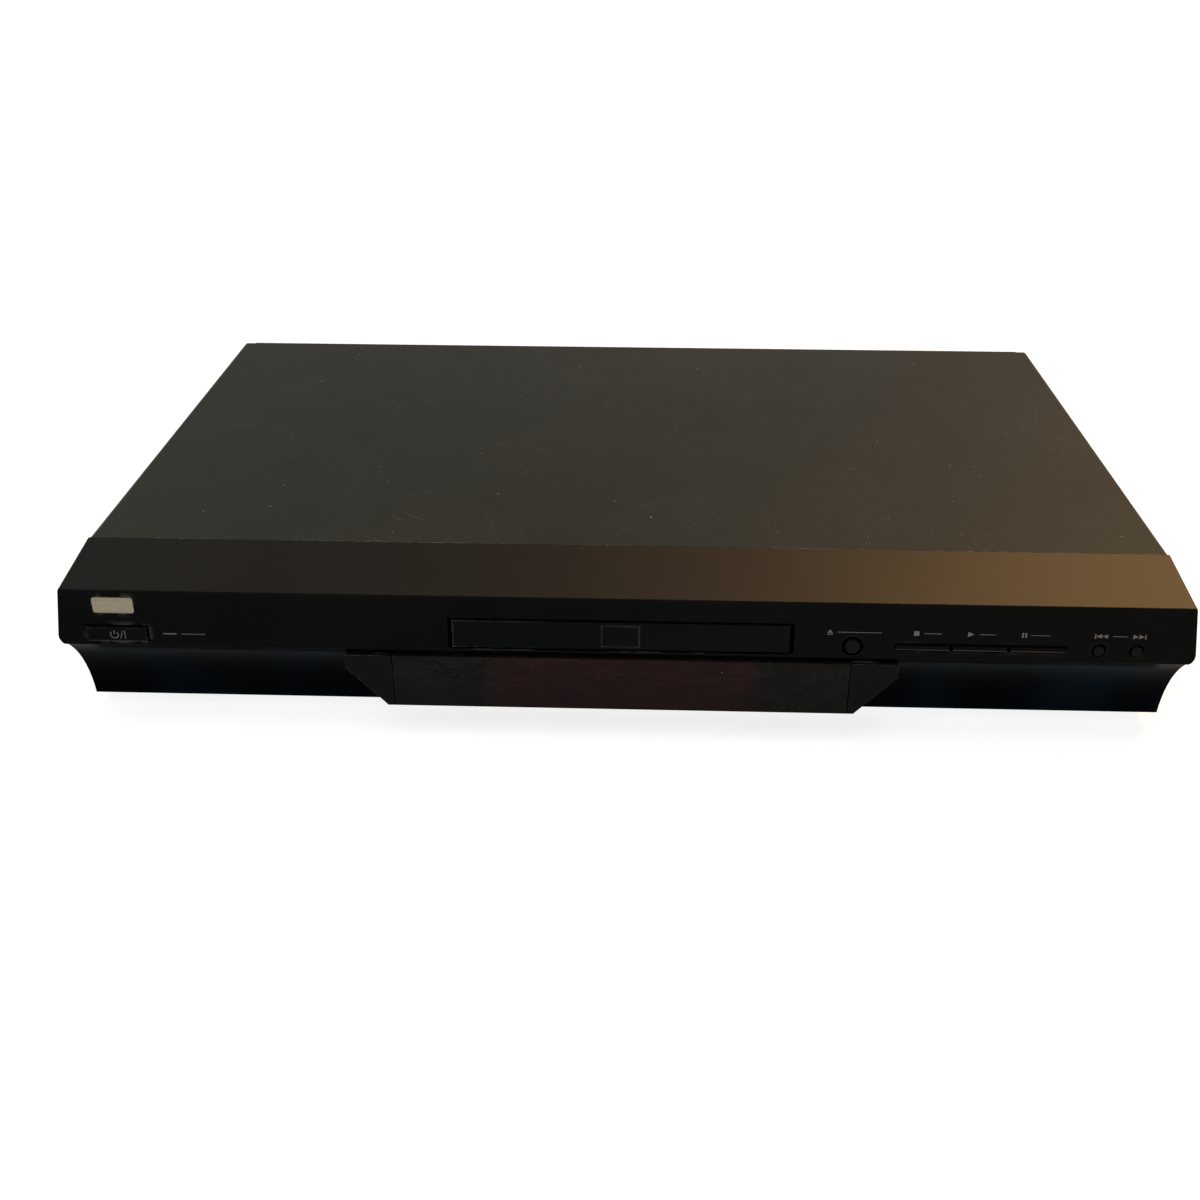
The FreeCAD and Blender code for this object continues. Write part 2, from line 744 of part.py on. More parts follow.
def build_front_panel():
    """Moulded front with bevel, face, cove and its openings."""
    panel = Piece("front_panel")
    panel.pad("side", "0", [outline(
        (f"{FACE} + cove_depth", BASE, by_radius("cove_radius", 1)),
        (f"{FACE} + lip_round", FACE_LOW, about(f"{FACE} + lip_round", f"{FACE_LOW} + lip_round", -1)),
        (FACE, f"{FACE_LOW} + lip_round"),
        (FACE, f"{FACE_TOP} - edge_round",
         by_radius(f"edge_round * sqrt((1 + {RISE}) / (1 - {RISE}))", -1)),
        (f"{FACE} + edge_round * {RUN}", f"{FACE_TOP} + edge_round * {RISE}"),
        (RIDGE, TOP),
        (RIDGE, BASE),
    )], "overall_width", both=True)
    panel.cut("side", "0", [outline(
        (f"{FACE} + cove_depth + cove_wall", f"{BASE} - overrun"),
        (f"{FACE} + cove_depth + cove_wall", BASE, by_radius("cove_radius", 1)),
        (f"{FACE} + lip_round + cove_wall", FACE_LOW),
        (FACE_IN, f"{FACE_LOW} + lip_land"),
        (FACE_IN, f"{FACE_TOP} + panel_wall * bevel_drop / bevel_depth - panel_wall / {RUN}"),
        (f"{RIDGE} + overrun", f"{TOP} + overrun * bevel_drop / bevel_depth - panel_wall / {RUN}"),
        (f"{RIDGE} + overrun", f"{BASE} - overrun"),
    )], f"2 * ({SIDE} - panel_wall)", both=True)
    panel.cut("front", f"{FACE} - overrun", [end_waste("", 1), end_waste("-", -1)],
              "bevel_depth + 2 * overrun")
    panel.round_edges(at_ends, "end_round")
    clip_x = f"({END} + overrun)"
    clip_in = f"({COVER_HALF})"
    clips = []
    for sign in ("", "-"):
        clips.append(outline(
            (f"{sign}{clip_in}", f"{RIDGE} + overrun"),
            (f"{sign}{clip_in}", RIDGE),
            (f"{sign}{clip_x}", f"{RIDGE} - ridge_clip_length"),
            (f"{sign}{clip_x}", f"{RIDGE} + overrun"),
        ))
    panel.cut("top", f"{BASE} - overrun", clips, "overall_height + overrun")
    panel.pad("top", f"{COVER_IN} - tongue_thick", [rect(
        f"tongue_inset - {SIDE}", f"{RIDGE} - tongue_root",
        f"{SIDE} - tongue_inset", f"{RIDGE} + tongue_reach")], "tongue_thick")
    panel.pad("front", f"{FACE_IN} - panel_wall / 2", BOARD_POSTS,
              "key_board_place - panel_wall / 2")
    panel.cut("front", f"{FACE} - overrun", [
        soft_rect(f"-{OPENING_HALF}", OPENING_LOW, OPENING_HALF,
                  f"({OPENING_LOW} + opening_height)", "opening_round"),
        middle_rect(POWER_X, KEY_Z, "(power_width + 2 * power_gap)", "(power_height + 2 * power_gap)"),
        middle_rect(LAMP_X, KEY_Z, "lamp_width", "lamp_height"),
        disc(key_x("open_key_share"), KEY_Z, "open_key_radius + open_key_gap"),
        pill(STRIP_X0, STRIP_X1, STRIP_LOW, STRIP_HIGH),
        disc(key_x("skip_back_share"), KEY_Z, "skip_key_radius + skip_key_gap"),
        disc(key_x("skip_next_share"), KEY_Z, "skip_key_radius + skip_key_gap"),
    ], "opening_reach")
    panel.cut("front", f"{FACE} - overrun", [BLOCK_OUTLINE], "cove_depth + cove_wall + 2 * overrun")


def end_waste(sign, turn):
    """What is cut from an end so that it flares towards a round lower corner."""
    return outline(
        (f"{sign}{SIDE}", f"{BASE} - overrun"),
        (f"{sign}{SIDE}", FACE_LOW, by_radius("end_corner_radius", turn)),
        (f"{sign}{END}", f"{FACE_LOW} + end_corner"),
        (f"{sign}({SIDE} - end_draw)", TOP),
        (f"{sign}({END} + overrun)", TOP),
        (f"{sign}({END} + overrun)", f"{BASE} - overrun"),
    )


def at_ends(edge):
    """Whether an edge runs round an outer end of the face or the bevel."""
    half = value(f"{SIDE} - end_draw") - 1e-6
    low = value(f"{FACE_LOW} + end_corner") - 1e-6
    back = value(RIDGE) - 1e-6
    outer = all(abs(v.X) > half and v.Z > low for v in edge.Vertexes)
    return outer and any(v.Y < back for v in edge.Vertexes)


def screw_places():
    """Places on the plan where boards, loader and feet are screwed down."""
    boards = []
    for x0, x1, front in ((MAIN_X0, MAIN_X1, MAIN_FRONT), (POWER_X0, POWER_X1, POWER_FRONT)):
        for x in (f"({x0} + board_screw_margin)", f"({x1} - board_screw_margin)"):
            for y in (f"({front} + board_screw_margin)", f"({BOARD_REAR} - rear_flange_inset)"):
                boards.append((x, y))
    loader = []
    for sign in ("", "-"):
        for y in (EAR_FRONT, EAR_REAR):
            loader.append((f"{sign}{EAR_X}", y))
    feet = []
    for sign in ("", "-"):
        for y in (FOOT_FRONT, FOOT_REAR):
            feet.append((f"{sign}{FOOT_X}", y))
    return boards, loader, feet


# Loader levels and plan.
LOADER_WALL_IN = f"({TRAY_HALF} + tray_side_gap)"
LOADER_HALF = f"({LOADER_WALL_IN} + loader_wall)"
LOADER_FRONT = f"({FACE} + loader_inset)"
PIVOT_Y = f"({HEART} + pivot_arm)"
PIVOT_Z = f"({TRAY_LOW} - pivot_drop)"
LOADER_REAR = f"({PIVOT_Y} + loader_tail)"
LOADER_LOW = f"({TRAY_LOW} - loader_drop)"
LOADER_FLOOR = f"({LOADER_LOW} + loader_floor)"
LOADER_TOP = f"({TRAY_TOP} + loader_top_gap)"
DECK_TOP = f"({TRAY_LOW} - deck_drop)"
DECK_LOW = f"({DECK_TOP} - deck_thick)"
EAR_X = f"({LOADER_HALF} + ear_width / 2)"
EAR_FRONT = f"({LOADER_FRONT} + ear_front_inset)"
EAR_REAR = f"({LOADER_REAR} - ear_rear_inset)"
FOOT_X = f"({SIDE} - foot_side_inset)"
FOOT_FRONT = f"({FACE} + foot_front_inset)"
FOOT_REAR = f"({REAR} - foot_rear_inset)"
MAIN_X0 = f"({LOADER_HALF} + ear_width + board_loader_gap)"
MAIN_X1 = f"({CHASSIS_HALF} - board_side_gap)"
POWER_X0 = f"(-{MAIN_X1})"
POWER_X1 = f"(-{MAIN_X0})"
BOARD_LOW = f"({FLOOR} + board_standoff)"
BOARD_TOP = f"({BOARD_LOW} + board_thick)"
BOARD_REAR = f"({REAR_IN} - board_rear_gap)"
MAIN_LENGTH = f"(main_board_share * ({REAR_IN} - {FACE}))"
POWER_LENGTH = f"(power_board_share * ({REAR_IN} - {FACE}))"
MAIN_FRONT = f"({BOARD_REAR} - {MAIN_LENGTH})"
POWER_FRONT = f"({BOARD_REAR} - {POWER_LENGTH})"
SCREWS_BOARDS, SCREWS_LOADER, SCREWS_FEET = screw_places()
SIDE_SCREW_Z = f"({BASE} + side_screw_rise)"
SIDE_SCREWS = [f"({RIDGE} + side_screw_inset)", f"({REAR} - side_screw_inset)"]
SCREWS_BRIDGE = [(f"{sign}({LOADER_HALF} + bridge_boss_width / 2)", HEART) for sign in ("", "-")]
REAR_SCREWS = [f"(-rear_screw_share * {CHASSIS_HALF})", "0", f"(rear_screw_share * {CHASSIS_HALF})"]
REAR_TOP_Z = f"({TOP} - rear_screw_drop)"
REAR_LOW_Z = f"({BASE} + rear_screw_rise)"


def holes(places, size):
    """Circles of one size at several places."""
    return [disc(x, y, size) for x, y in places]


def build_top_cover():
    """Folded sheet cover with a rear lip."""
    cover = Piece("top_cover")
    low = f"({BASE} + cover_low_gap)"
    bend = f"({TOP} - cover_bend)"
    shoulder = f"({COVER_HALF} - cover_bend)"
    inner = f"({COVER_HALF} - cover_sheet)"
    cover.pad("front", f"{RIDGE} + cover_seam", [outline(
        (f"-{COVER_HALF}", low),
        (f"-{COVER_HALF}", bend, about(f"-{shoulder}", bend, -1)),
        (f"-{shoulder}", TOP),
        (shoulder, TOP, about(shoulder, bend, -1)),
        (COVER_HALF, bend),
        (COVER_HALF, low),
        (inner, low),
        (inner, bend, about(shoulder, bend, 1)),
        (shoulder, COVER_IN),
        (f"-{shoulder}", COVER_IN, about(f"-{shoulder}", bend, 1)),
        (f"-{inner}", bend),
        (f"-{inner}", low),
    )], f"{REAR} - {RIDGE} - cover_seam")
    lip = f"({COVER_HALF} - cover_lip_inset)"
    cover.pad("front", REAR, [rect(f"-{lip}", f"{TOP} - cover_lip_height", lip, TOP)], "cover_sheet")
    cover.cut("side", "0", holes([(y, SIDE_SCREW_Z) for y in SIDE_SCREWS], "screw_hole_radius"),
              "overall_width", both=True)
    cover.cut("front", f"{REAR} - overrun",
              holes([(x, REAR_TOP_Z) for x in REAR_SCREWS], "screw_hole_radius"), "cover_sheet + 2 * overrun")


def build_chassis():
    """Base pan with flanges, standoffs, holes and vents."""
    pan = Piece("chassis_base")
    pan.pad("top", BASE, [rect(f"-{CHASSIS_HALF}", CHASSIS_FRONT, CHASSIS_HALF, REAR_IN)], "floor_sheet")
    sides = []
    for sign in ("", "-"):
        sides.append(rect(
            f"{sign}{CHASSIS_HALF}", f"{RIDGE} + side_flange_inset",
            f"{sign}({CHASSIS_HALF} - floor_sheet)", f"{REAR_IN} - side_flange_inset"))
    pan.pad("top", BASE, sides, "side_flange")
    pan.pad("top", BASE, [rect(
        f"front_flange_inset - {CHASSIS_HALF}", CHASSIS_FRONT,
        f"{CHASSIS_HALF} - front_flange_inset", f"{CHASSIS_FRONT} + floor_sheet")], "front_flange")
    pan.pad("top", BASE, [rect(
        f"rear_flange_inset - {CHASSIS_HALF}", f"{REAR_IN} - floor_sheet",
        f"{CHASSIS_HALF} - rear_flange_inset", REAR_IN)], "rear_flange")
    pan.pad("top", FLOOR, holes(SCREWS_BOARDS, "standoff_radius"), "board_standoff")
    pan.pad("top", FLOOR, holes(SCREWS_LOADER, "standoff_radius"), f"{LOADER_LOW} - {FLOOR}")
    pan.cut("top", f"{BASE} - overrun",
            holes(SCREWS_BOARDS + SCREWS_LOADER + SCREWS_FEET, "screw_hole_radius"), "overall_height")
    pan.cut("side", "0", holes([(y, SIDE_SCREW_Z) for y in SIDE_SCREWS], "screw_hole_radius"),
            "overall_width", both=True)
    pan.cut("front", f"{REAR_IN} - 2 * floor_sheet",
            holes([(x, REAR_LOW_Z) for x in REAR_SCREWS], "screw_hole_radius"), "4 * floor_sheet")
    vent_x = f"(({POWER_X0} + {POWER_X1}) / 2 - vent_length / 2)"
    vent_y = f"(({POWER_FRONT} + {BOARD_REAR}) / 2 - vent_pitch * vent_count / 2)"
    first = pan.cut("top", f"{BASE} - overrun", [rect(
        vent_x, vent_y, f"{vent_x} + vent_length", f"{vent_y} + vent_width")], "floor_sheet + 2 * overrun")
    pan.row(first, "Y_Axis", "vent_pitch * (vent_count - 1)", "vent_count")


# Rear sockets: columns of jacks counted from the inner end of the main board.
JACK_COLUMNS = [f"({MAIN_X0} + jack_first + {n} * jack_column)" for n in range(3)]
SOCKET_SPACE = f"({COVER_IN} - {BOARD_TOP})"
JACK_ROWS = [f"({BOARD_TOP} + (jack_rise_share + {n} * jack_row_share) * {SOCKET_SPACE})" for n in range(3)]
JACKS = [(JACK_COLUMNS[c], JACK_ROWS[r]) for c in (0, 1) for r in (0, 1, 2)]
JACKS.append((JACK_COLUMNS[2], JACK_ROWS[0]))
OPTICAL = (JACK_COLUMNS[2], JACK_ROWS[1])
VIDEO = (JACK_COLUMNS[2], JACK_ROWS[2])
INLET_X = f"({POWER_X0} + inlet_side_inset)"
INLET_Z = f"({BOARD_TOP} + inlet_height / 2)"


def build_rear_panel():
    """Flat rear plate with socket holes and vents."""
    plate = Piece("rear_panel")
    plate.pad("front", REAR_IN, [soft_rect(f"-{CHASSIS_HALF}", BASE, CHASSIS_HALF, COVER_IN, "cover_bend")],
              "rear_sheet")
    back = f"({REAR_IN} - overrun)"
    deep = "rear_sheet + 2 * overrun"
    plate.cut("front", back, holes(JACKS, "jack_ring_radius + jack_fit"), deep)
    plate.cut("front", back, [
        middle_rect(*OPTICAL, "(optical_width + 2 * jack_fit)", "(optical_width + 2 * jack_fit)"),
        disc(*VIDEO, "video_socket_radius + jack_fit"),
        middle_rect(INLET_X, INLET_Z, "(inlet_collar_width + 2 * jack_fit)",
                    "(inlet_collar_height + 2 * jack_fit)"),
    ], deep)
    plate.cut("front", back, holes([(x, REAR_TOP_Z) for x in REAR_SCREWS], "screw_hole_radius"), deep)
    plate.cut("front", back, holes([(x, REAR_LOW_Z) for x in REAR_SCREWS], "screw_hole_radius"), deep)
    vent_x = "(-rear_vent_pitch * rear_vent_count / 2)"
    vent_low = f"({BASE} + rear_vent_rise_share * ({COVER_IN} - {BASE}))"
    vent_high = f"({vent_low} + rear_vent_length_share * ({COVER_IN} - {BASE}))"
    first = plate.cut("front", back, [rect(
        vent_x, vent_low, f"{vent_x} + rear_vent_width", vent_high)], deep)
    plate.row(first, "X_Axis", "rear_vent_pitch * (rear_vent_count - 1)", "rear_vent_count")


def build_feet_and_screws():
    """Round feet and the two groups of screws."""
    feet = Piece("feet")
    feet.pad("top", "foot_pad_height", holes(SCREWS_FEET, "foot_radius"), "foot_height - foot_pad_height")
    feet.pad("top", "0", holes(SCREWS_FEET, "foot_pad_radius"), "foot_pad_height")
    feet.cut("top", f"{BASE} - screw_length", holes(SCREWS_FEET, "screw_hole_radius"),
             "screw_length + overrun")
    screws = Piece("inner_screws")
    levels = ((SCREWS_FEET, FLOOR), (SCREWS_LOADER, LOADER_FLOOR), (SCREWS_BOARDS, BOARD_TOP),
              (SCREWS_BRIDGE, f"({LOADER_TOP} + bridge_thick)"))
    for places, level in levels:
        screws.pad("top", level, holes(places, "screw_head_radius"), "screw_head_height")
        screws.pad("top", f"{level} - screw_length", holes(places, "screw_shank_radius"), "screw_length")
    outer = Piece("cover_screws")
    outward = ((f"{REAR} + cover_sheet", REAR_TOP_Z), (REAR, REAR_LOW_Z))
    for level, rise in outward:
        places = [(x, rise) for x in REAR_SCREWS]
        outer.pad("front", level, holes(places, "cover_screw_head_radius"), "cover_screw_head_height")
        outer.pad("front", f"{level} - cover_screw_length", holes(places, "screw_shank_radius"),
                  "cover_screw_length")
    places = [(y, SIDE_SCREW_Z) for y in SIDE_SCREWS]
    outer.pad("side", COVER_HALF, holes(places, "cover_screw_head_radius"), "cover_screw_head_height")
    outer.pad("side", f"{COVER_HALF} - cover_screw_length", holes(places, "screw_shank_radius"),
              "cover_screw_length")
    outer.pad("side", f"-{COVER_HALF} - cover_screw_head_height", holes(places, "cover_screw_head_radius"),
              "cover_screw_head_height")
    outer.pad("side", f"-{COVER_HALF}", holes(places, "screw_shank_radius"), "cover_screw_length")


def build_display():
    """Display block under the tray: bezel, window, tube and board."""
    bezel = Piece("display_bezel")
    bezel.pad("front", BLOCK_FRONT, [BLOCK_OUTLINE], "block_depth - block_setback")
    bezel.cut("front", f"{BLOCK_FRONT} - overrun", [rect(
        f"-{WINDOW_HALF}", f"{BLOCK_LOW} - overrun", WINDOW_HALF, f"{BLOCK_TOP} + overrun")],
        "window_thick + overrun")
    seams = [rect(f"{sign}{WINDOW_HALF}", f"{BLOCK_LOW} + seam_land",
                  f"{sign}({WINDOW_HALF} + seam_width)", f"{BLOCK_TOP} + overrun") for sign in ("", "-")]
    bezel.cut("front", f"{BLOCK_FRONT} - overrun", seams, "seam_depth + overrun")
    bezel.cut("front", BLOCK_FRONT, [rect(
        f"-{SIGHT_HALF}", f"{BLOCK_LOW} + sight_margin", SIGHT_HALF, f"{BLOCK_TOP} - sight_margin")],
        "block_depth")
    window = Piece("display_window")
    window.pad("front", BLOCK_FRONT, [rect(f"-{WINDOW_HALF}", BLOCK_LOW, WINDOW_HALF, BLOCK_TOP)],
               "window_thick")
    tube = Piece("display_tube")
    tube.pad("front", f"{BLOCK_REAR} - display_thick", [rect(
        f"-{DISPLAY_HALF}", f"{BLOCK_LOW} + display_margin", DISPLAY_HALF, f"{BLOCK_TOP} - display_margin")],
        "display_thick")
    board = Piece("display_board")
    board.pad("front", BLOCK_REAR, [rect(
        f"-{DISPLAY_BOARD_HALF}", f"{BLOCK_LOW} + display_board_margin",
        DISPLAY_BOARD_HALF, f"{BLOCK_TOP} - display_board_margin")], "board_thick")
    badge = Piece("badge_plate")
    badge.pad("front", f"{FACE} - badge_proud", [soft_rect(
        f"(badge_inset - {SIDE} - badge_width / 2)", f"({FACE_TOP} - badge_drop - badge_height / 2)",
        f"(badge_inset - {SIDE} + badge_width / 2)", f"({FACE_TOP} - badge_drop + badge_height / 2)",
        "badge_round")], "badge_proud")


FLANGE_Y = f"({FACE_IN} + key_seat)"
STEM_Y = f"({FLANGE_Y} + key_flange)"


def build_keys():
    """Buttons with a flange behind the panel and a stem to the switch."""
    power = Piece("power_button")
    power.pad("front", f"{FACE} - power_proud", [middle_rect(POWER_X, KEY_Z, "power_width", "power_height")],
              f"{FLANGE_Y} - {FACE} + power_proud")
    power.pad("front", FLANGE_Y, [middle_rect(
        POWER_X, KEY_Z, "(power_width + 2 * key_flange_reach)", "(power_height + 2 * key_flange_reach)")],
        "key_flange")
    power.pad("front", STEM_Y, [disc(POWER_X, KEY_Z, "key_stem_radius")], "key_stem_length")
    power.round_edges(foremost(f"{FACE} - power_proud"), "power_round")
    lens = Piece("standby_lens")
    lens.pad("front", FACE, [middle_rect(LAMP_X, KEY_Z, "lamp_width", "lamp_height")], "lamp_reach")
    rounds = (
        ("open_close_button", "open_key_share", "open_key"),
        ("skip_back_button", "skip_back_share", "skip_key"),
        ("skip_next_button", "skip_next_share", "skip_key"),
    )
    for label, share, kind in rounds:
        key = Piece(label)
        key.pad("front", f"{FACE} - key_proud", [disc(key_x(share), KEY_Z, f"{kind}_radius")],
                f"{FLANGE_Y} - {FACE} + key_proud")
        key.pad("front", FLANGE_Y, [disc(
            key_x(share), KEY_Z, f"{kind}_radius + {kind}_gap + key_flange_reach")], "key_flange")
        key.pad("front", STEM_Y, [disc(key_x(share), KEY_Z, "key_stem_radius")], "key_stem_length")
        key.round_edges(foremost(f"{FACE} - key_proud"), f"{kind}_round")
    third = f"(({STRIP_X1} - {STRIP_X0}) / 3)"
    for n, label in enumerate(("stop_button", "play_button", "pause_button")):
        key = Piece(label)
        x0 = f"({STRIP_X0} + {n} * {third} + {'key_gap' if n == 0 else 'strip_split / 2'})"
        x1 = f"({STRIP_X0} + {n + 1} * {third} - {'key_gap' if n == 2 else 'strip_split / 2'})"
        low = f"({STRIP_LOW} + key_gap)"
        high = f"({STRIP_HIGH} - key_gap)"
        key.pad("front", f"{FACE} - key_proud", [strip_key(n, x0, x1, low, high)],
                f"{FLANGE_Y} - {FACE} + key_proud")
        key.pad("front", FLANGE_Y, [rect(
            f"{x0} + strip_split", f"{low} - key_flange_reach", f"{x1} - strip_split",
            f"{high} + key_flange_reach")], "key_flange")
        key.pad("front", STEM_Y, [disc(f"({x0} + {x1}) / 2", KEY_Z, "key_stem_radius")], "key_stem_length")
        key.round_edges(foremost(f"{FACE} - key_proud"), "strip_key_round")


def strip_key(n, x0, x1, low, high):
    """Outline of one of the three keys that share a slot."""
    half = f"({high} - {low}) / 2"
    mid = f"({low} + {high}) / 2"
    if n == 1:
        return rect(x0, low, x1, high)
    if n == 0:
        return outline((f"{x0} + {half}", low), (x1, low), (x1, high),
                       (f"{x0} + {half}", high, about(f"{x0} + {half}", mid, 1)))
    return outline((x0, low), (f"{x1} - {half}", low, about(f"{x1} - {half}", mid, 1)),
                   (f"{x1} - {half}", high), (x0, high))


def foremost(level):
    """Test for edges that lie in one plane across the depth."""
    place = value(level)

    def wanted(edge):
        return all(abs(v.Y - place) < 1e-6 for v in edge.Vertexes)

    return wanted


SWITCHES = [
    (POWER_X, KEY_Z),
    (key_x("open_key_share"), KEY_Z),
    (key_x("skip_back_share"), KEY_Z),
    (key_x("skip_next_share"), KEY_Z),
]
for step in range(3):
    place = f"({STRIP_X0} + ({STRIP_X1} - {STRIP_X0}) * (2 * {step} + 1) / 6)"
    SWITCHES.append((place, KEY_Z))


def build_key_boards():
    """Two boards behind the face and the switches on them."""
    for label, x0, x1 in (("power_key_board", LEFT_X0, LEFT_X1), ("key_board", KEY_X0, KEY_X1)):
        board = Piece(label)
        board.pad("front", KEY_BOARD, [rect(x0, KEY_LOW, x1, KEY_HIGH)], "board_thick")
    switches = Piece("key_switches")
    squares = [middle_rect(x, z, "switch_width", "switch_width") for x, z in SWITCHES]
    switches.pad("front", f"{KEY_BOARD} - switch_body", squares, "switch_body")
    switches.pad("front", f"{KEY_BOARD} - switch_body - switch_plunger",
                 holes(SWITCHES, "switch_plunger_radius"), "switch_plunger")


GEAR_Y = f"({FACE} + gear_inset)"
PITCH = f"({math.pi} * gear_module)"
DRIVE_PITCH_RADIUS = "(gear_module * drive_teeth / 2)"
PINION_PITCH_RADIUS = "(gear_module * pinion_teeth / 2)"
RACK_X = f"(-{TRAY_HALF} + rack_inset)"
DRIVE_X = f"({RACK_X} + {DRIVE_PITCH_RADIUS})"
PULLEY_X = f"({DRIVE_X} + {DRIVE_PITCH_RADIUS} + {PINION_PITCH_RADIUS})"
GEAR_TOP = f"({TRAY_LOW} - gear_top_gap)"
GEAR_LOW = f"({GEAR_TOP} - gear_thick)"
PULLEY_LOW = f"({DECK_TOP} + gear_top_gap)"
TRAY_TRAVEL = f"({HEART} + recess_radius - {FACE} + travel_margin)"


def build_tray():
    """Disc tray with two recesses, a window, a rear lane and a rack, and its door."""
    tray = Piece("tray")
    tray.pad("top", TRAY_LOW, [rect(f"-{TRAY_HALF}", TRAY_FRONT, TRAY_HALF, TRAY_REAR)], "tray_height")
    tray.cut("top", DISC_SEAT, [disc("0", HEART, "recess_radius")], "tray_height")
    tray.cut("top", SMALL_SEAT, [disc("0", HEART, "small_recess_radius")], "tray_height")
    tray.cut("top", f"{DISC_SEAT} + tray_lane_rise", [rect(
        "-tray_lane_half", f"{HEART} + small_recess_radius", "tray_lane_half", f"{TRAY_REAR} + overrun")],
        "tray_height")
    tray.cut("top", f"{TRAY_LOW} - overrun", [soft_rect(
        "-tray_window_half", f"({HEART} - tray_window_front)", "tray_window_half",
        f"({HEART} + tray_window_rear)", "tray_window_round")], "tray_height")
    notch_y = f"({HEART} - recess_radius)"
    tray.cut("top", DISC_SEAT, [disc("0", notch_y, "tray_notch_radius / 2")], "tray_height")
    wells = []
    for sign in ("", "-"):
        wells.append(rect(
            f"{sign}(tray_lane_half + tail_pocket_wall)", f"{HEART} + recess_radius + tail_pocket_wall",
            f"{sign}({TRAY_HALF} - rack_inset - 2 * tail_pocket_wall)", f"{TRAY_REAR} - tail_pocket_wall"))
    tray.cut("top", f"{SMALL_SEAT} + tail_pocket_wall", wells, "tray_height")
    tray.pad("top", f"{TRAY_LOW} - rack_height", [rect(
        f"{RACK_X} - gear_module * 1.25 - rack_back", f"{TRAY_FRONT} + tray_front_rim",
        f"{RACK_X} - gear_module * 1.25", TRAY_REAR)], "rack_height")
    slant = math.tan(math.radians(20.0))
    wide = f"({PITCH} / 4 - gear_backlash / 4)"
    count = f"floor(({TRAY_REAR} - {GEAR_Y}) / {PITCH} + 2)"
    start = f"({GEAR_Y} - {PITCH} * 2.5)"
    root = f"({RACK_X} - gear_module * 1.25 - gear_backlash)"
    crest = f"({RACK_X} + gear_module * 0.9)"
    tooth = tray.pad("top", f"{TRAY_LOW} - rack_height", [outline(
        (root, f"{start} - {wide} - gear_module * {1.25 * slant}"),
        (crest, f"{start} - {wide} + gear_module * {0.9 * slant}"),
        (crest, f"{start} + {wide} - gear_module * {0.9 * slant}"),
        (root, f"{start} + {wide} + gear_module * {1.25 * slant}"),
    )], "rack_height")
    tray.row(tooth, "Y_Axis", f"{PITCH} * ({count} - 1)", count)
    door = Piece("tray_door")
    low = f"({FACE_LOW} + door_rise)"
    high = f"({low} + door_height)"
    door.pad("front", f"{FACE} + door_setback", [rect(f"-{DOOR_HALF}", low, DOOR_HALF, high)], "door_thick")
    door.round_edges(foremost(f"{FACE} + door_setback"), "door_round")
    mid = f"({low} + door_height / 2)"
    inner_width = "(plaque_width / 2 - plaque_line)"
    inner_height = "(plaque_height / 2 - plaque_line)"
    door.cut("front", f"{FACE} + door_setback - overrun", [
        soft_rect("-plaque_width / 2", f"({mid} - plaque_height / 2)", "plaque_width / 2",
                  f"({mid} + plaque_height / 2)", "plaque_round"),
        soft_rect(f"-{inner_width}", f"({mid} - {inner_height})", inner_width, f"({mid} + {inner_height})",
                  "(plaque_round - plaque_line)"),
    ], "plaque_depth + overrun")


CAM_REAR = f"({PIVOT_Y} - pivot_arm - traverse_front - cam_gap)"
CAM_FRONT = f"({CAM_REAR} - cam_thick)"
PIN_ARM = "(pivot_arm + traverse_front + cam_gap + cam_thick / 2)"
PIN_LOW = f"({PIVOT_Z} - {PIN_ARM} * traverse_lift / pivot_arm)"
CAM_LOW = f"({LOADER_FLOOR} + cam_guide_gap)"
CAM_RISE = f"({PIN_ARM} * traverse_lift / pivot_arm)"


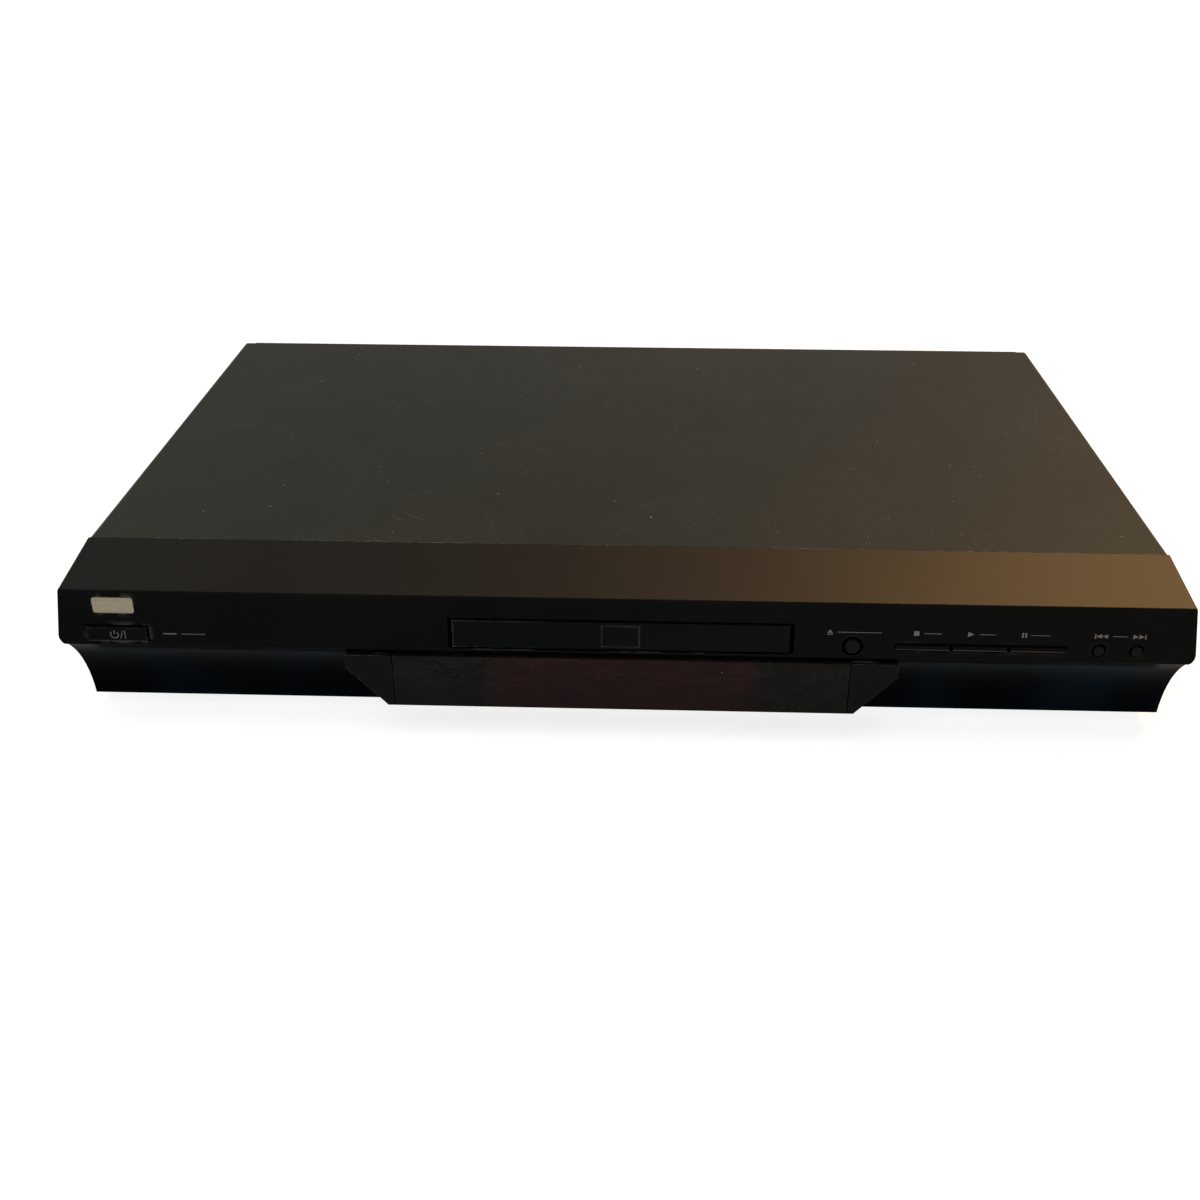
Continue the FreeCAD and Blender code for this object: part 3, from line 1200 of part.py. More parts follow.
def build_loader_frame():
    """Loader frame with rails, gear deck, trunnion posts and ears."""
    frame = Piece("loader_frame")
    frame.pad("top", LOADER_LOW, [rect(f"-{LOADER_HALF}", LOADER_FRONT, LOADER_HALF, LOADER_REAR)],
              "loader_floor")
    frame.cut("top", f"{LOADER_LOW} - overrun", [
        rect("-loader_window_half", f"{LOADER_FRONT} + loader_window_front",
             "loader_window_half", f"{PIVOT_Y} - post_depth / 2 - loader_window_rear"),
        disc("motor_pulley_place", GEAR_Y, "motor_radius + overrun"),
    ], "loader_floor + 2 * overrun")
    walls = []
    ledges = []
    ears = []
    posts = []
    tabs = []
    bosses = []
    for sign in ("", "-"):
        walls.append(rect(f"{sign}{LOADER_WALL_IN}", LOADER_FRONT, f"{sign}{LOADER_HALF}", LOADER_REAR))
        ledges.append(rect(f"{sign}({LOADER_WALL_IN} - ledge_width)", LOADER_FRONT,
                           f"{sign}{LOADER_HALF}", LOADER_REAR))
        for y in (EAR_FRONT, EAR_REAR):
            ears.append(rect(f"{sign}{LOADER_WALL_IN}", f"{y} - ear_length / 2",
                             f"{sign}({LOADER_HALF} + ear_width)", f"{y} + ear_length / 2"))
        for y in (f"({LOADER_FRONT} + lip_tab_length)", f"({HEART} + recess_radius)"):
            tabs.append(rect(f"{sign}({LOADER_WALL_IN} - ledge_width)", y,
                             f"{sign}{LOADER_HALF}", f"{y} + lip_tab_length"))
        posts.append(rect(f"{sign}{POST_IN}", f"{PIVOT_Y} - post_depth / 2",
                          f"{sign}({POST_IN} + post_width)", f"{PIVOT_Y} + post_depth / 2"))
        bosses.append(rect(f"{sign}{LOADER_WALL_IN}", f"{HEART} - bridge_boss_length / 2",
                           f"{sign}({LOADER_HALF} + bridge_boss_width)",
                           f"{HEART} + bridge_boss_length / 2"))
    frame.pad("top", LOADER_LOW, walls, f"{LOADER_TOP} - {LOADER_LOW}")
    frame.pad("top", f"{TRAY_LOW} - tray_slide_gap - ledge_thick", ledges, "ledge_thick")
    frame.pad("top", f"{TRAY_TOP} + tray_slide_gap", tabs, "loader_top_gap - tray_slide_gap")
    frame.pad("top", LOADER_LOW, ears, "loader_floor")
    frame.pad("top", f"{LOADER_TOP} - bridge_boss_height", bosses, "bridge_boss_height")
    frame.pad("top", LOADER_LOW, posts, f"{PIVOT_Z} + post_rise - {LOADER_LOW}")
    frame.pad("top", DECK_LOW, [rect(f"-{LOADER_HALF}", LOADER_FRONT, LOADER_HALF,
                                     f"{LOADER_FRONT} + deck_length")], "deck_thick")
    frame.pad("top", LOADER_LOW, [rect(f"-{LOADER_HALF}", LOADER_FRONT, LOADER_HALF,
                                       f"{LOADER_FRONT} + loader_wall")], f"{DECK_TOP} - {LOADER_LOW}")
    guides = []
    for sign in ("", "-"):
        guides.append(rect(f"{sign}cam_guide_place", f"{CAM_FRONT} - cam_guide_gap - cam_guide",
                           f"{sign}(cam_guide_place + lip_tab_length)", f"{CAM_FRONT} - cam_guide_gap"))
    frame.pad("top", LOADER_LOW, guides, "loader_floor + cam_guide_height")
    gear_place = [(DRIVE_X, GEAR_Y)]
    pulley_place = [(PULLEY_X, GEAR_Y)]
    frame.pad("top", DECK_LOW, holes(gear_place, "gear_collar_radius"),
              f"{GEAR_LOW} - {DECK_LOW} - gear_bore_gap")
    frame.pad("top", DECK_LOW, holes(gear_place + pulley_place, "gear_post_radius"),
              f"{GEAR_TOP} - {DECK_LOW}")
    frame.cut("top", f"{DECK_LOW} - overrun", holes(
        [("motor_pulley_place", GEAR_Y)], "motor_boss_radius + motor_fit"), "deck_thick + 2 * overrun")
    frame.cut("side", "0", holes([(PIVOT_Y, PIVOT_Z)], "trunnion_radius + trunnion_gap"),
              f"2 * ({POST_IN} + post_width) + 2 * overrun", both=True)
    frame.cut("top", f"{LOADER_LOW} - overrun", holes(SCREWS_LOADER, "screw_hole_radius"),
              "loader_floor + 2 * overrun")
    frame.cut("top", f"{LOADER_TOP} - screw_length", holes(SCREWS_BRIDGE, "screw_hole_radius"),
              "screw_length + overrun")


POST_IN = "(traverse_half + cam_gap / 2)"


def build_cam_slider():
    """Sliding plate whose slanted slots lift the front of the traverse."""
    cam = Piece("cam_slider")
    high = f"({PIVOT_Z} + lift_pin_radius + cam_margin)"
    cam.pad("front", CAM_FRONT, [rect("-cam_half", CAM_LOW, "cam_half", high)], "cam_thick")
    grade = f"({CAM_RISE} / cam_travel)"
    half = f"((lift_pin_radius + cam_slot_gap) * sqrt(1 + {grade} ^ 2))"
    spare = "(lift_pin_radius + cam_slot_gap)"
    slots = []
    for sign in ("", "-"):
        pin = f"{sign}lift_pin_half"
        right = f"({pin} + {spare})"
        left = f"({pin} - cam_travel - {spare})"
        slots.append(outline(
            (right, f"{PIN_LOW} - {grade} * {spare} - {half}"),
            (right, f"{PIN_LOW} - {grade} * {spare} + {half}"),
            (left, f"{PIN_LOW} + {grade} * (cam_travel + {spare}) + {half}"),
            (left, f"{PIN_LOW} + {grade} * (cam_travel + {spare}) - {half}"),
        ))
    cam.cut("front", f"{CAM_FRONT} - overrun", slots, "cam_thick + 2 * overrun")


TILT = math.degrees(math.asin(value("traverse_lift / pivot_arm")))
PIVOT = ("0", PIVOT_Y, PIVOT_Z)
PLATE = "(traverse_thick / 2)"
WINDOW_FRONT = "(traverse_window_front - pivot_arm)"
WINDOW_REAR = f"({WINDOW_FRONT} + traverse_window_length)"


def build_traverse():
    """Hinged sub-frame that carries spindle, rods, pickup and its drive."""
    frame = Piece("traverse_frame", PIVOT, TILT)
    front = "(-pivot_arm - traverse_front)"
    frame.pad("top", f"-{PLATE}", [rect("-traverse_half", front, "traverse_half", "traverse_rear")],
              "traverse_thick")
    frame.cut("top", f"-{PLATE} - overrun", [rect(
        "-traverse_window_half", WINDOW_FRONT, "traverse_window_half", WINDOW_REAR)],
        "traverse_thick + 2 * overrun")
    ribs = []
    for sign in ("", "-"):
        ribs.append(rect(f"{sign}traverse_half", front,
                         f"{sign}(traverse_half - traverse_rib_wall)", "traverse_rear"))
    frame.pad("top", f"-{PLATE}", ribs, "traverse_thick + traverse_rib")
    frame.pad("front", f"{front} - lift_pin_length", holes(
        [("lift_pin_half", "0"), ("-lift_pin_half", "0")], "lift_pin_radius"), "lift_pin_length + overrun")
    frame.pad("side", "0", holes([("0", "0")], "trunnion_radius"),
              "2 * traverse_half + 2 * trunnion_length", both=True)
    blocks = []
    for sign in ("", "-"):
        for y in (f"({WINDOW_FRONT} - rod_block)", WINDOW_REAR):
            blocks.append(rect(f"{sign}rod_half - rod_block_half", y,
                               f"{sign}rod_half + rod_block_half", f"{y} + rod_block"))
    blocks.append(rect("-screw_line - rod_block_half", f"{WINDOW_FRONT} - rod_block",
                       "-screw_line + rod_block_half", WINDOW_FRONT))
    frame.pad("top", f"-{PLATE}", blocks, f"{PLATE} + rod_block_height")
    frame.cut("front", f"{WINDOW_FRONT} - rod_block - overrun", holes(
        [("rod_half", "rod_rise"), ("-rod_half", "rod_rise")], "rod_radius + rod_gap"),
        "traverse_window_length + 2 * rod_block + 2 * overrun")
    frame.cut("front", f"{WINDOW_FRONT} - rod_block - overrun", holes(
        [("-screw_line", "rod_rise")], "lead_screw_radius + lead_screw_gap"), "rod_block + 2 * overrun")
    frame.pad("top", PLATE, [rect(
        "-screw_line - sled_motor_radius", f"{WINDOW_REAR} + rod_block",
        "-screw_line + sled_motor_radius", f"{WINDOW_REAR} + rod_block + sled_motor_length")],
        "rod_rise - sled_motor_radius - traverse_thick / 2 + sled_motor_radius")
    frame.cut("front", f"{WINDOW_REAR} + rod_block - overrun", holes(
        [("-screw_line", "rod_rise")], "sled_motor_radius"), "sled_motor_length + 2 * overrun")

    rods = Piece("guide_rods", PIVOT, TILT)
    rods.pad("front", f"{WINDOW_FRONT} - rod_block", holes(
        [("rod_half", "rod_rise"), ("-rod_half", "rod_rise")], "rod_radius"),
        "traverse_window_length + 2 * rod_block")

    motor = Piece("spindle_motor", PIVOT, TILT)
    motor.pad("top", PLATE, [disc("0", "-pivot_arm", "spindle_radius")], "spindle_height")
    motor.pad("top", PLATE, [disc("0", "-pivot_arm", "spindle_shaft_radius")],
              "table_rise + hub_height - hub_step - traverse_thick / 2")

    table = Piece("turntable", PIVOT, TILT)
    table.pad("top", "table_rise - table_thick", [disc("0", "-pivot_arm", "table_radius")], "table_thick")
    table.pad("top", "table_rise", [disc("0", "-pivot_arm", "hub_radius")], "hub_height - hub_step")
    table.pad("top", "table_rise + hub_height - hub_step",
              [disc("0", "-pivot_arm", "hub_radius - hub_step")], "hub_step")
    table.cut("top", "table_rise - table_thick - overrun", [
        disc("0", "-pivot_arm", "spindle_shaft_radius + table_bore_gap")],
        "table_thick + hub_height - hub_step + overrun + table_bore_gap")

    lens_y = "(pickup_first - pivot_arm)"
    pickup = Piece("pickup", PIVOT, TILT)
    pickup.pad("top", "pickup_low", [rect(
        "-pickup_half", f"{lens_y} - pickup_front", "pickup_half",
        f"{lens_y} - pickup_front + pickup_length")], "pickup_high - pickup_low")
    pickup.pad("top", "pickup_high", [disc("0", lens_y, "turret_radius")], "turret_height")
    pickup.pad("top", "pickup_low", [rect(
        "-screw_line + lead_screw_radius + nut_gap", f"{lens_y}", "-pickup_half + overrun",
        f"{lens_y} + nut_length")], "pickup_high - pickup_low")
    pickup.cut("front", f"{lens_y} - pickup_front - overrun", holes(
        [("rod_half", "rod_rise"), ("-rod_half", "rod_rise")], "rod_radius + rod_gap"),
        "pickup_length + 2 * overrun")
    lens = Piece("pickup_lens", PIVOT, TILT)
    lens.pad("top", "pickup_high + turret_height", [disc("0", lens_y, "lens_radius")], "lens_height")

    screw = Piece("lead_screw", PIVOT, TILT)
    screw.pad("front", f"{WINDOW_FRONT} - rod_block - lead_screw_front", holes(
        [("-screw_line", "rod_rise")], "lead_screw_radius"),
        "traverse_window_length + 2 * rod_block + lead_screw_front - sled_motor_gap")
    sled = Piece("sled_motor", PIVOT, TILT)
    sled.pad("front", f"{WINDOW_REAR} + rod_block", holes(
        [("-screw_line", "rod_rise")], "sled_motor_radius"), "sled_motor_length")


def build_clamp():
    """Bridge over the tray and the puck that holds a disc down."""
    bridge = Piece("clamp_bridge")
    end = f"({LOADER_HALF} + bridge_boss_width)"
    bridge.pad("top", LOADER_TOP, [rect(f"-{end}", f"{HEART} - bridge_half_depth", end,
                                        f"{HEART} + bridge_half_depth")], "bridge_thick")
    ribs = [
        rect(f"-{end}", f"{HEART} - bridge_half_depth", end,
             f"{HEART} - bridge_half_depth + bridge_rib_wall"),
        rect(f"-{end}", f"{HEART} + bridge_half_depth - bridge_rib_wall", end,
             f"{HEART} + bridge_half_depth"),
    ]
    bridge.pad("top", LOADER_TOP, ribs, "bridge_thick + bridge_rib")
    bridge.cut("top", f"{LOADER_TOP} - overrun", [disc("0", HEART, "clamper_radius + clamper_gap")],
               "bridge_thick + bridge_rib + 2 * overrun")
    bridge.cut("top", f"{LOADER_TOP} - overrun", holes(SCREWS_BRIDGE, "screw_hole_radius"),
               "bridge_thick + 2 * overrun")
    puck = Piece("clamper")
    low = f"({PIVOT_Z} + table_rise + clamper_rise)"
    seat = f"({LOADER_TOP} + bridge_thick + clamper_seat)"
    puck.pad("top", low, [disc("0", HEART, "clamper_radius")], f"{seat} - {low}")
    puck.pad("top", seat, [disc("0", HEART, "clamper_radius + clamper_flange")], "clamper_flange_thick")
    puck.cut("top", f"{low} - overrun", [disc("0", HEART, "hub_radius + clamper_well_gap")],
             "hub_height + clamper_well_rise - clamper_rise + overrun")


def build_boards():
    """Main board, power board and what stands on them."""
    for label, x0, x1, front in (("main_board", MAIN_X0, MAIN_X1, MAIN_FRONT),
                                 ("power_board", POWER_X0, POWER_X1, POWER_FRONT)):
        board = Piece(label)
        board.pad("top", BOARD_LOW, [rect(x0, front, x1, f"{BOARD_REAR} - rear_sheet")], "board_thick")
        own = [p for p in SCREWS_BOARDS if p[0].startswith(f"({x0} ") or p[0].startswith(f"({x1} ")]
        board.cut("top", f"{BOARD_LOW} - overrun", holes(own, "screw_hole_radius"),
                  "board_thick + 2 * overrun")
    middle = f"(({MAIN_X0} + {MAIN_X1}) / 2)"
    deck = f"({MAIN_FRONT} + {MAIN_LENGTH} / 2)"
    chips = Piece("main_board_chips")
    chips.pad("top", BOARD_TOP, [middle_rect(middle, deck, "decoder_width", "decoder_width")],
              "decoder_height")
    chips.pad("top", BOARD_TOP, [
        middle_rect(middle, f"({deck} - decoder_width)", "memory_length", "memory_width"),
        middle_rect(middle, f"({deck} - decoder_width - 2 * memory_width)", "memory_length", "memory_width"),
    ], "memory_height")
    chips.pad("top", BOARD_TOP, [
        middle_rect(f"({middle} {sign} decoder_width)", f"({deck} + decoder_width)",
                    "driver_width", "driver_length") for sign in "-+"
    ], "driver_height")
    chips.pad("top", BOARD_TOP, [
        middle_rect(RIBBON_X, RIBBON_END, "connector_width", "connector_depth"),
        middle_rect(f"({MAIN_X0} + connector_depth)", HARNESS_Y, "connector_depth", "connector_width"),
    ], "connector_height")
    cans = Piece("main_board_capacitors")
    line = [(f"({middle} + {n} * small_can_pitch)", f"({deck} + 2 * decoder_width)")
            for n in (-2, -1, 0, 1, 2)]
    cans.pad("top", BOARD_TOP, holes(line, "small_can_radius"), "small_can_height")

    centre = f"(({POWER_X0} + {POWER_X1}) / 2)"
    stand = f"({POWER_FRONT} + {POWER_LENGTH} / 2)"
    transformer = Piece("power_transformer")
    transformer.pad("top", BOARD_TOP, [middle_rect(centre, stand, "bobbin_width", "bobbin_depth")],
                    "bobbin_height")
    transformer.pad("top", f"{BOARD_TOP} + (bobbin_height - core_height) / 2", [
        middle_rect(centre, stand, "core_width", "core_depth")], "core_height")
    tall = Piece("power_capacitors")
    tall.pad("top", BOARD_TOP, [disc(centre, f"({stand} + core_depth + bulk_can_radius)", "bulk_can_radius")],
             "bulk_can_height")
    group = [(f"({centre} + {n} * filter_can_pitch)", f"({stand} - core_depth - filter_can_radius)")
             for n in (-1, 0, 1)]
    tall.pad("top", BOARD_TOP, holes(group, "filter_can_radius"), "filter_can_height")
    sink = Piece("heat_sink")
    sink_x = f"({POWER_X0} + sink_fin + board_screw_margin)"
    sink.pad("top", BOARD_TOP, [middle_rect(sink_x, stand, "sink_thick", "sink_length")], "sink_height")
    fins = [middle_rect(f"({sink_x} - sink_fin / 2)", f"({stand} + {n} * sink_length / 5)",
                        "sink_fin", "sink_thick") for n in (-2, -1, 0, 1, 2)]
    sink.pad("top", BOARD_TOP, fins, "sink_height")
    plug = Piece("power_connector")
    plug.pad("top", BOARD_TOP, [middle_rect(
        f"({POWER_X1} - connector_depth)", HARNESS_Y, "connector_depth", "connector_width")],
             "connector_height")


RIBBON_X = f"(({KEY_X0} + {KEY_X1}) / 2)"
RIBBON_END = f"({MAIN_FRONT} + connector_depth)"
HARNESS_Y = f"(({LOADER_REAR} + {BOARD_REAR} - rear_flange_inset) / 2)"


def build_wiring():
    """Flat cable from the key board and the supply wires between the boards."""
    ribbon = Piece("front_ribbon")
    high = f"({KEY_HIGH} - ribbon_drop)"
    start = f"({KEY_BOARD} + board_thick)"
    land = f"({BOARD_TOP} + connector_height)"
    ribbon.pad("side", f"{RIBBON_X} - ribbon_width / 2", [outline(
        (start, f"{high} - ribbon_thick"),
        (start, high),
        (f"{RIBBON_END} + ribbon_thick / 2", high),
        (f"{RIBBON_END} + ribbon_thick / 2", land),
        (f"{RIBBON_END} - ribbon_thick / 2", land),
        (f"{RIBBON_END} - ribbon_thick / 2", f"{high} - ribbon_thick"),
    )], "ribbon_width")
    harness = Piece("power_harness")
    left = f"({POWER_X1} - connector_depth)"
    right = f"({MAIN_X0} + connector_depth)"
    over = f"({BOARD_TOP} + connector_height + harness_rise)"
    harness.pad("front", f"{HARNESS_Y} - harness_width / 2", [outline(
        (f"{left} - harness_thick / 2", land),
        (f"{left} - harness_thick / 2", over),
        (f"{right} + harness_thick / 2", over),
        (f"{right} + harness_thick / 2", land),
        (f"{right} - harness_thick / 2", land),
        (f"{right} - harness_thick / 2", f"{over} - harness_thick"),
        (f"{left} + harness_thick / 2", f"{over} - harness_thick"),
        (f"{left} + harness_thick / 2", land),
    )], "harness_width")


def build_rear_sockets():
    """Jacks, sockets and the mains inlet."""
    block = Piece("jack_block")
    towers = [rect(f"{x} - jack_block_width / 2", BOARD_TOP, f"{x} + jack_block_width / 2",
                   f"{JACK_ROWS[2]} + jack_block_margin") for x in JACK_COLUMNS]
    block.pad("front", f"{REAR_IN} - jack_block_depth", towers, "jack_block_depth")
    block.cut("front", f"{REAR_IN} - video_socket_depth", [disc(*VIDEO, "video_socket_radius + jack_fit")],
              "video_socket_depth + overrun")
    sleeves = Piece("jack_sleeves")
    sleeves.pad("front", REAR_IN, holes(JACKS, "jack_radius"), "rear_sheet + jack_reach")
    sleeves.pad("front", REAR_IN, holes(JACKS, "jack_root_radius"), "rear_sheet + jack_ring_reach")
    sleeves.cut("front", REAR_IN, holes(JACKS, "jack_bore_radius"), "rear_sheet + jack_reach + overrun")
    rings = Piece("jack_rings")
    rings.pad("front", REAR_IN, holes(JACKS, "jack_ring_radius"), "rear_sheet + jack_ring_reach")
    rings.cut("front", f"{REAR_IN} - overrun", holes(JACKS, "jack_root_radius + jack_fit"),
              "rear_sheet + jack_ring_reach + 2 * overrun")
    video = Piece("video_socket")
    video.pad("front", f"{REAR_IN} - video_socket_depth", [disc(*VIDEO, "video_socket_radius")],
              "video_socket_depth + rear_sheet + socket_proud")
    video.cut("front", f"{REAR_IN} - video_socket_depth + video_socket_floor", [
        disc(*VIDEO, "video_socket_bore")], "video_socket_depth + rear_sheet + socket_proud")
    optical = Piece("optical_socket")
    optical.pad("front", REAR_IN, [middle_rect(*OPTICAL, "optical_width", "optical_width")],
                "rear_sheet + socket_proud")
    optical.cut("front", f"{REAR} + socket_proud - optical_shutter_depth", [
        middle_rect(*OPTICAL, "optical_shutter", "optical_shutter")], "socket_proud")
    inlet = Piece("mains_inlet")
    inlet.pad("front", f"{REAR_IN} - inlet_depth", [
        middle_rect(INLET_X, INLET_Z, "inlet_width", "inlet_height")], "inlet_depth")
    inlet.pad("front", REAR_IN, [middle_rect(INLET_X, INLET_Z, "inlet_collar_width", "inlet_collar_height")],
              "rear_sheet + inlet_proud")
    inlet.cut("front", f"{REAR} + inlet_proud - inlet_mouth_depth", [soft_rect(
        f"({INLET_X} - inlet_mouth_width / 2)", f"({INLET_Z} - inlet_mouth_height / 2)",
        f"({INLET_X} + inlet_mouth_width / 2)", f"({INLET_Z} + inlet_mouth_height / 2)",
        "inlet_mouth_round")], "inlet_mouth_depth + overrun")
    pins = Piece("inlet_pins")
    pins.pad("front", f"{REAR} + inlet_proud - inlet_mouth_depth", holes(
        [(f"{INLET_X} - inlet_pin_spacing / 2", INLET_Z), (f"{INLET_X} + inlet_pin_spacing / 2", INLET_Z)],
        "inlet_pin_radius"), "inlet_pin_length")


def involute(angle):
    """Involute of a pressure angle."""
    return math.tan(angle) - angle


def gear_outline(module, teeth, backlash, phase):
    """Wire of a spur gear with involute flanks about the origin."""
    press = math.radians(20.0)
    pitch = module * teeth / 2
    base = pitch * math.cos(press)
    tip = pitch + 0.9 * module
    root = pitch - 1.25 * module
    half = (math.pi * module / 2 - backlash) / (2 * pitch) + involute(press)
    foot = max(base, root)

    def spot(size, angle):
        return FreeCAD.Vector(size * math.cos(angle), size * math.sin(angle))

    def lean(size):
        return half - involute(math.acos(min(1.0, base / size)))

    steps = [foot + (tip - foot) * n / 4 for n in range(5)]
    edges = []
    for n in range(teeth):
        heart = phase + 2 * math.pi * n / teeth
        onward = heart + 2 * math.pi / teeth
        rise = [spot(size, heart - lean(size)) for size in steps]
        fall = [spot(size, heart + lean(size)) for size in reversed(steps)]
        flank = Part.BSplineCurve()
        flank.interpolate(rise)
        edges.append(flank.toShape())
        edges.append(Part.Arc(rise[-1], spot(tip, heart), fall[0]).toShape())
        flank = Part.BSplineCurve()
        flank.interpolate(fall)
        edges.append(flank.toShape())
        low = spot(root, heart + lean(foot))
        next_low = spot(root, onward - lean(foot))
        following = spot(foot, onward - lean(foot))
        if foot > root:
            edges.append(Part.makeLine(fall[-1], low))
        edges.append(Part.Arc(low, spot(root, heart + math.pi / teeth), next_low).toShape())
        if foot > root:
            edges.append(Part.makeLine(next_low, following))
    return Part.Wire(Part.__sortEdges__(edges))


def plain_piece(label, shape, place):
    """Sub-part whose shape is made from the sheet's sizes."""
    made = doc.addObject("Part::Feature", label)
    made.Label = label
    made.Shape = shape
    made.Placement = FreeCAD.Placement(place, FreeCAD.Rotation())
    PIECES.append(made)
    return made


def pulley_shape(size, low):
    """Flanged pulley of a radius, standing on a level."""
    flange = value("pulley_flange")
    thick = value("pulley_thick")
    groove = size - value("pulley_groove")
    up = FreeCAD.Vector(0, 0, 1)
    shape = Part.makeCylinder(groove, thick, FreeCAD.Vector(0, 0, low), up)
    for level in (low, low + thick - flange):
        shape = shape.fuse(Part.makeCylinder(size, flange, FreeCAD.Vector(0, 0, level), up))
    return shape


def belt_loop(big, small, span):
    """Wire round two pulleys a span apart along X."""
    lean = math.asin((big - small) / span)
    up = math.pi / 2 - lean
    far = FreeCAD.Vector(span, 0)

    def spot(heart, size, angle):
        return heart + FreeCAD.Vector(size * math.cos(angle), size * math.sin(angle))

    origin = FreeCAD.Vector(0, 0)
    edges = [
        Part.Arc(spot(origin, big, up), spot(origin, big, math.pi), spot(origin, big, -up)).toShape(),
        Part.makeLine(spot(origin, big, -up), spot(far, small, -up)),
        Part.Arc(spot(far, small, -up), spot(far, small, 0), spot(far, small, up)).toShape(),
        Part.makeLine(spot(far, small, up), spot(origin, big, up)),
    ]
    return Part.Wire(edges)


def build_gears():
    """Drive gear, pulley gear, motor pulley, belt and loading motor."""
    module = value("gear_module")
    backlash = value("gear_backlash")
    thick = value("gear_thick")
    up = FreeCAD.Vector(0, 0, 1)
    bore = value("gear_post_radius + gear_bore_gap")
    over = value("overrun")
    y = value(GEAR_Y)

    teeth = int(value("drive_teeth"))
    wheel = Part.Face(gear_outline(module, teeth, backlash, 0)).extrude(up * thick)
    wheel = wheel.cut(Part.makeCylinder(bore, thick + 2 * over, up * -over, up))
    plain_piece("drive_gear", wheel, FreeCAD.Vector(value(DRIVE_X), y, value(GEAR_LOW)))

    teeth = int(value("pinion_teeth"))
    high = value(f"{GEAR_TOP} - {PULLEY_LOW}")
    stem = value("pulley_thick")
    pinion = Part.Face(gear_outline(module, teeth, backlash, math.pi / teeth)).extrude(up * (high - stem))
    pinion.translate(up * stem)
    pulley = pulley_shape(value("pulley_radius"), 0).fuse(pinion)
    pulley = pulley.cut(Part.makeCylinder(bore, high + 2 * over, up * -over, up)).removeSplitter()
    plain_piece("pulley_gear", pulley, FreeCAD.Vector(value(PULLEY_X), y, value(PULLEY_LOW)))

    shaft = value("motor_shaft_radius + motor_fit")
    small = pulley_shape(value("motor_pulley_radius"), 0)
    small = small.cut(Part.makeCylinder(shaft, stem + 2 * over, up * -over, up)).removeSplitter()
    motor_x = value("motor_pulley_place")
    plain_piece("motor_pulley", small, FreeCAD.Vector(motor_x, y, value(PULLEY_LOW)))

    big_inner = value("pulley_radius - pulley_groove + belt_gap")
    small_inner = value("motor_pulley_radius - pulley_groove + belt_gap")
    span = motor_x - value(PULLEY_X)
    wide = value("belt_width")
    depth = value("belt_thick")
    outer = belt_loop(big_inner + depth, small_inner + depth, span)
    inner = belt_loop(big_inner, small_inner, span)
    belt = Part.Face(outer).cut(Part.Face(inner)).extrude(up * wide)
    lift = value(f"{PULLEY_LOW} + pulley_thick / 2 - belt_width / 2")
    plain_piece("drive_belt", belt, FreeCAD.Vector(value(PULLEY_X), y, lift))

    motor = Piece("loading_motor", ("motor_pulley_place", GEAR_Y, DECK_LOW))
    motor.pad("top", "-motor_height", [disc("0", "0", "motor_radius")], "motor_height")
    motor.pad("top", "0", [disc("0", "0", "motor_boss_radius")], "deck_thick")
    motor.pad("top", "0", [disc("0", "0", "motor_shaft_radius")],
              "deck_thick + gear_top_gap + pulley_thick")


build_front_panel()
build_top_cover()
build_chassis()
build_rear_panel()
build_feet_and_screws()
build_display()
build_keys()
build_key_boards()
build_tray()
build_loader_frame()
build_cam_slider()
build_traverse()
build_clamp()
build_gears()
build_boards()
build_wiring()
build_rear_sockets()
doc.recompute()

for thing in doc.Objects:
    if "Invalid" in thing.State or "Error" in thing.State:
        raise RuntimeError(f"{thing.Label}: {thing.State}")
for piece in PIECES:
    if piece.Shape.isNull() or not piece.Shape.isValid():
        raise RuntimeError(f"{piece.Label} has no sound shape")
    piece.Shape.exportStep(f"parts/{piece.Label}.step")
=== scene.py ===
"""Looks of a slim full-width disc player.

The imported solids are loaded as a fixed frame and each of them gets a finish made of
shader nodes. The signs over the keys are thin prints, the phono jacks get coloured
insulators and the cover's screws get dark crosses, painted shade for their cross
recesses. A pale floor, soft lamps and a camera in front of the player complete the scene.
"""

from __future__ import annotations

import json
import logging
import math
from dataclasses import dataclass, field
from enum import Enum
from typing import Any, Union

import bmesh
import bpy
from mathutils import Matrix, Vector

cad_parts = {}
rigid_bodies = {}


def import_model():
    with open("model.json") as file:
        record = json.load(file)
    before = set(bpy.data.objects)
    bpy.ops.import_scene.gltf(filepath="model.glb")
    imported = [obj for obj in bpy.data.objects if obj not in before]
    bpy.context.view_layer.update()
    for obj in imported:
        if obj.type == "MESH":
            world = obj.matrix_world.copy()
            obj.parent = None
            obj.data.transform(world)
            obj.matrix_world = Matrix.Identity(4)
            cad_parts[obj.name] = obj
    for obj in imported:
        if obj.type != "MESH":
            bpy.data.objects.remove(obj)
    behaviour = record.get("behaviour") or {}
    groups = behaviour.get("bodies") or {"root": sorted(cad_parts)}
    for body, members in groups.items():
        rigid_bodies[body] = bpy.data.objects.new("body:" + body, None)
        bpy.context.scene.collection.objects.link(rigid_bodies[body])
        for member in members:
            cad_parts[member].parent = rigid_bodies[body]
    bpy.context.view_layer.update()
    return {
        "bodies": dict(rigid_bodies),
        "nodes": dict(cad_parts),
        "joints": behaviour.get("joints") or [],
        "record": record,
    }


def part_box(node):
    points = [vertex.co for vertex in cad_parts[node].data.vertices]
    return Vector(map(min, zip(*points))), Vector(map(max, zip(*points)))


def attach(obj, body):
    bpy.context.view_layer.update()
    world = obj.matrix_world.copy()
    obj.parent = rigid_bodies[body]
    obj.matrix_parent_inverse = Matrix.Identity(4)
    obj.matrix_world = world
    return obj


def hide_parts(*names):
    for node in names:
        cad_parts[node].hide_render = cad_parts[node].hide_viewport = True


log = logging.getLogger("disc_player")

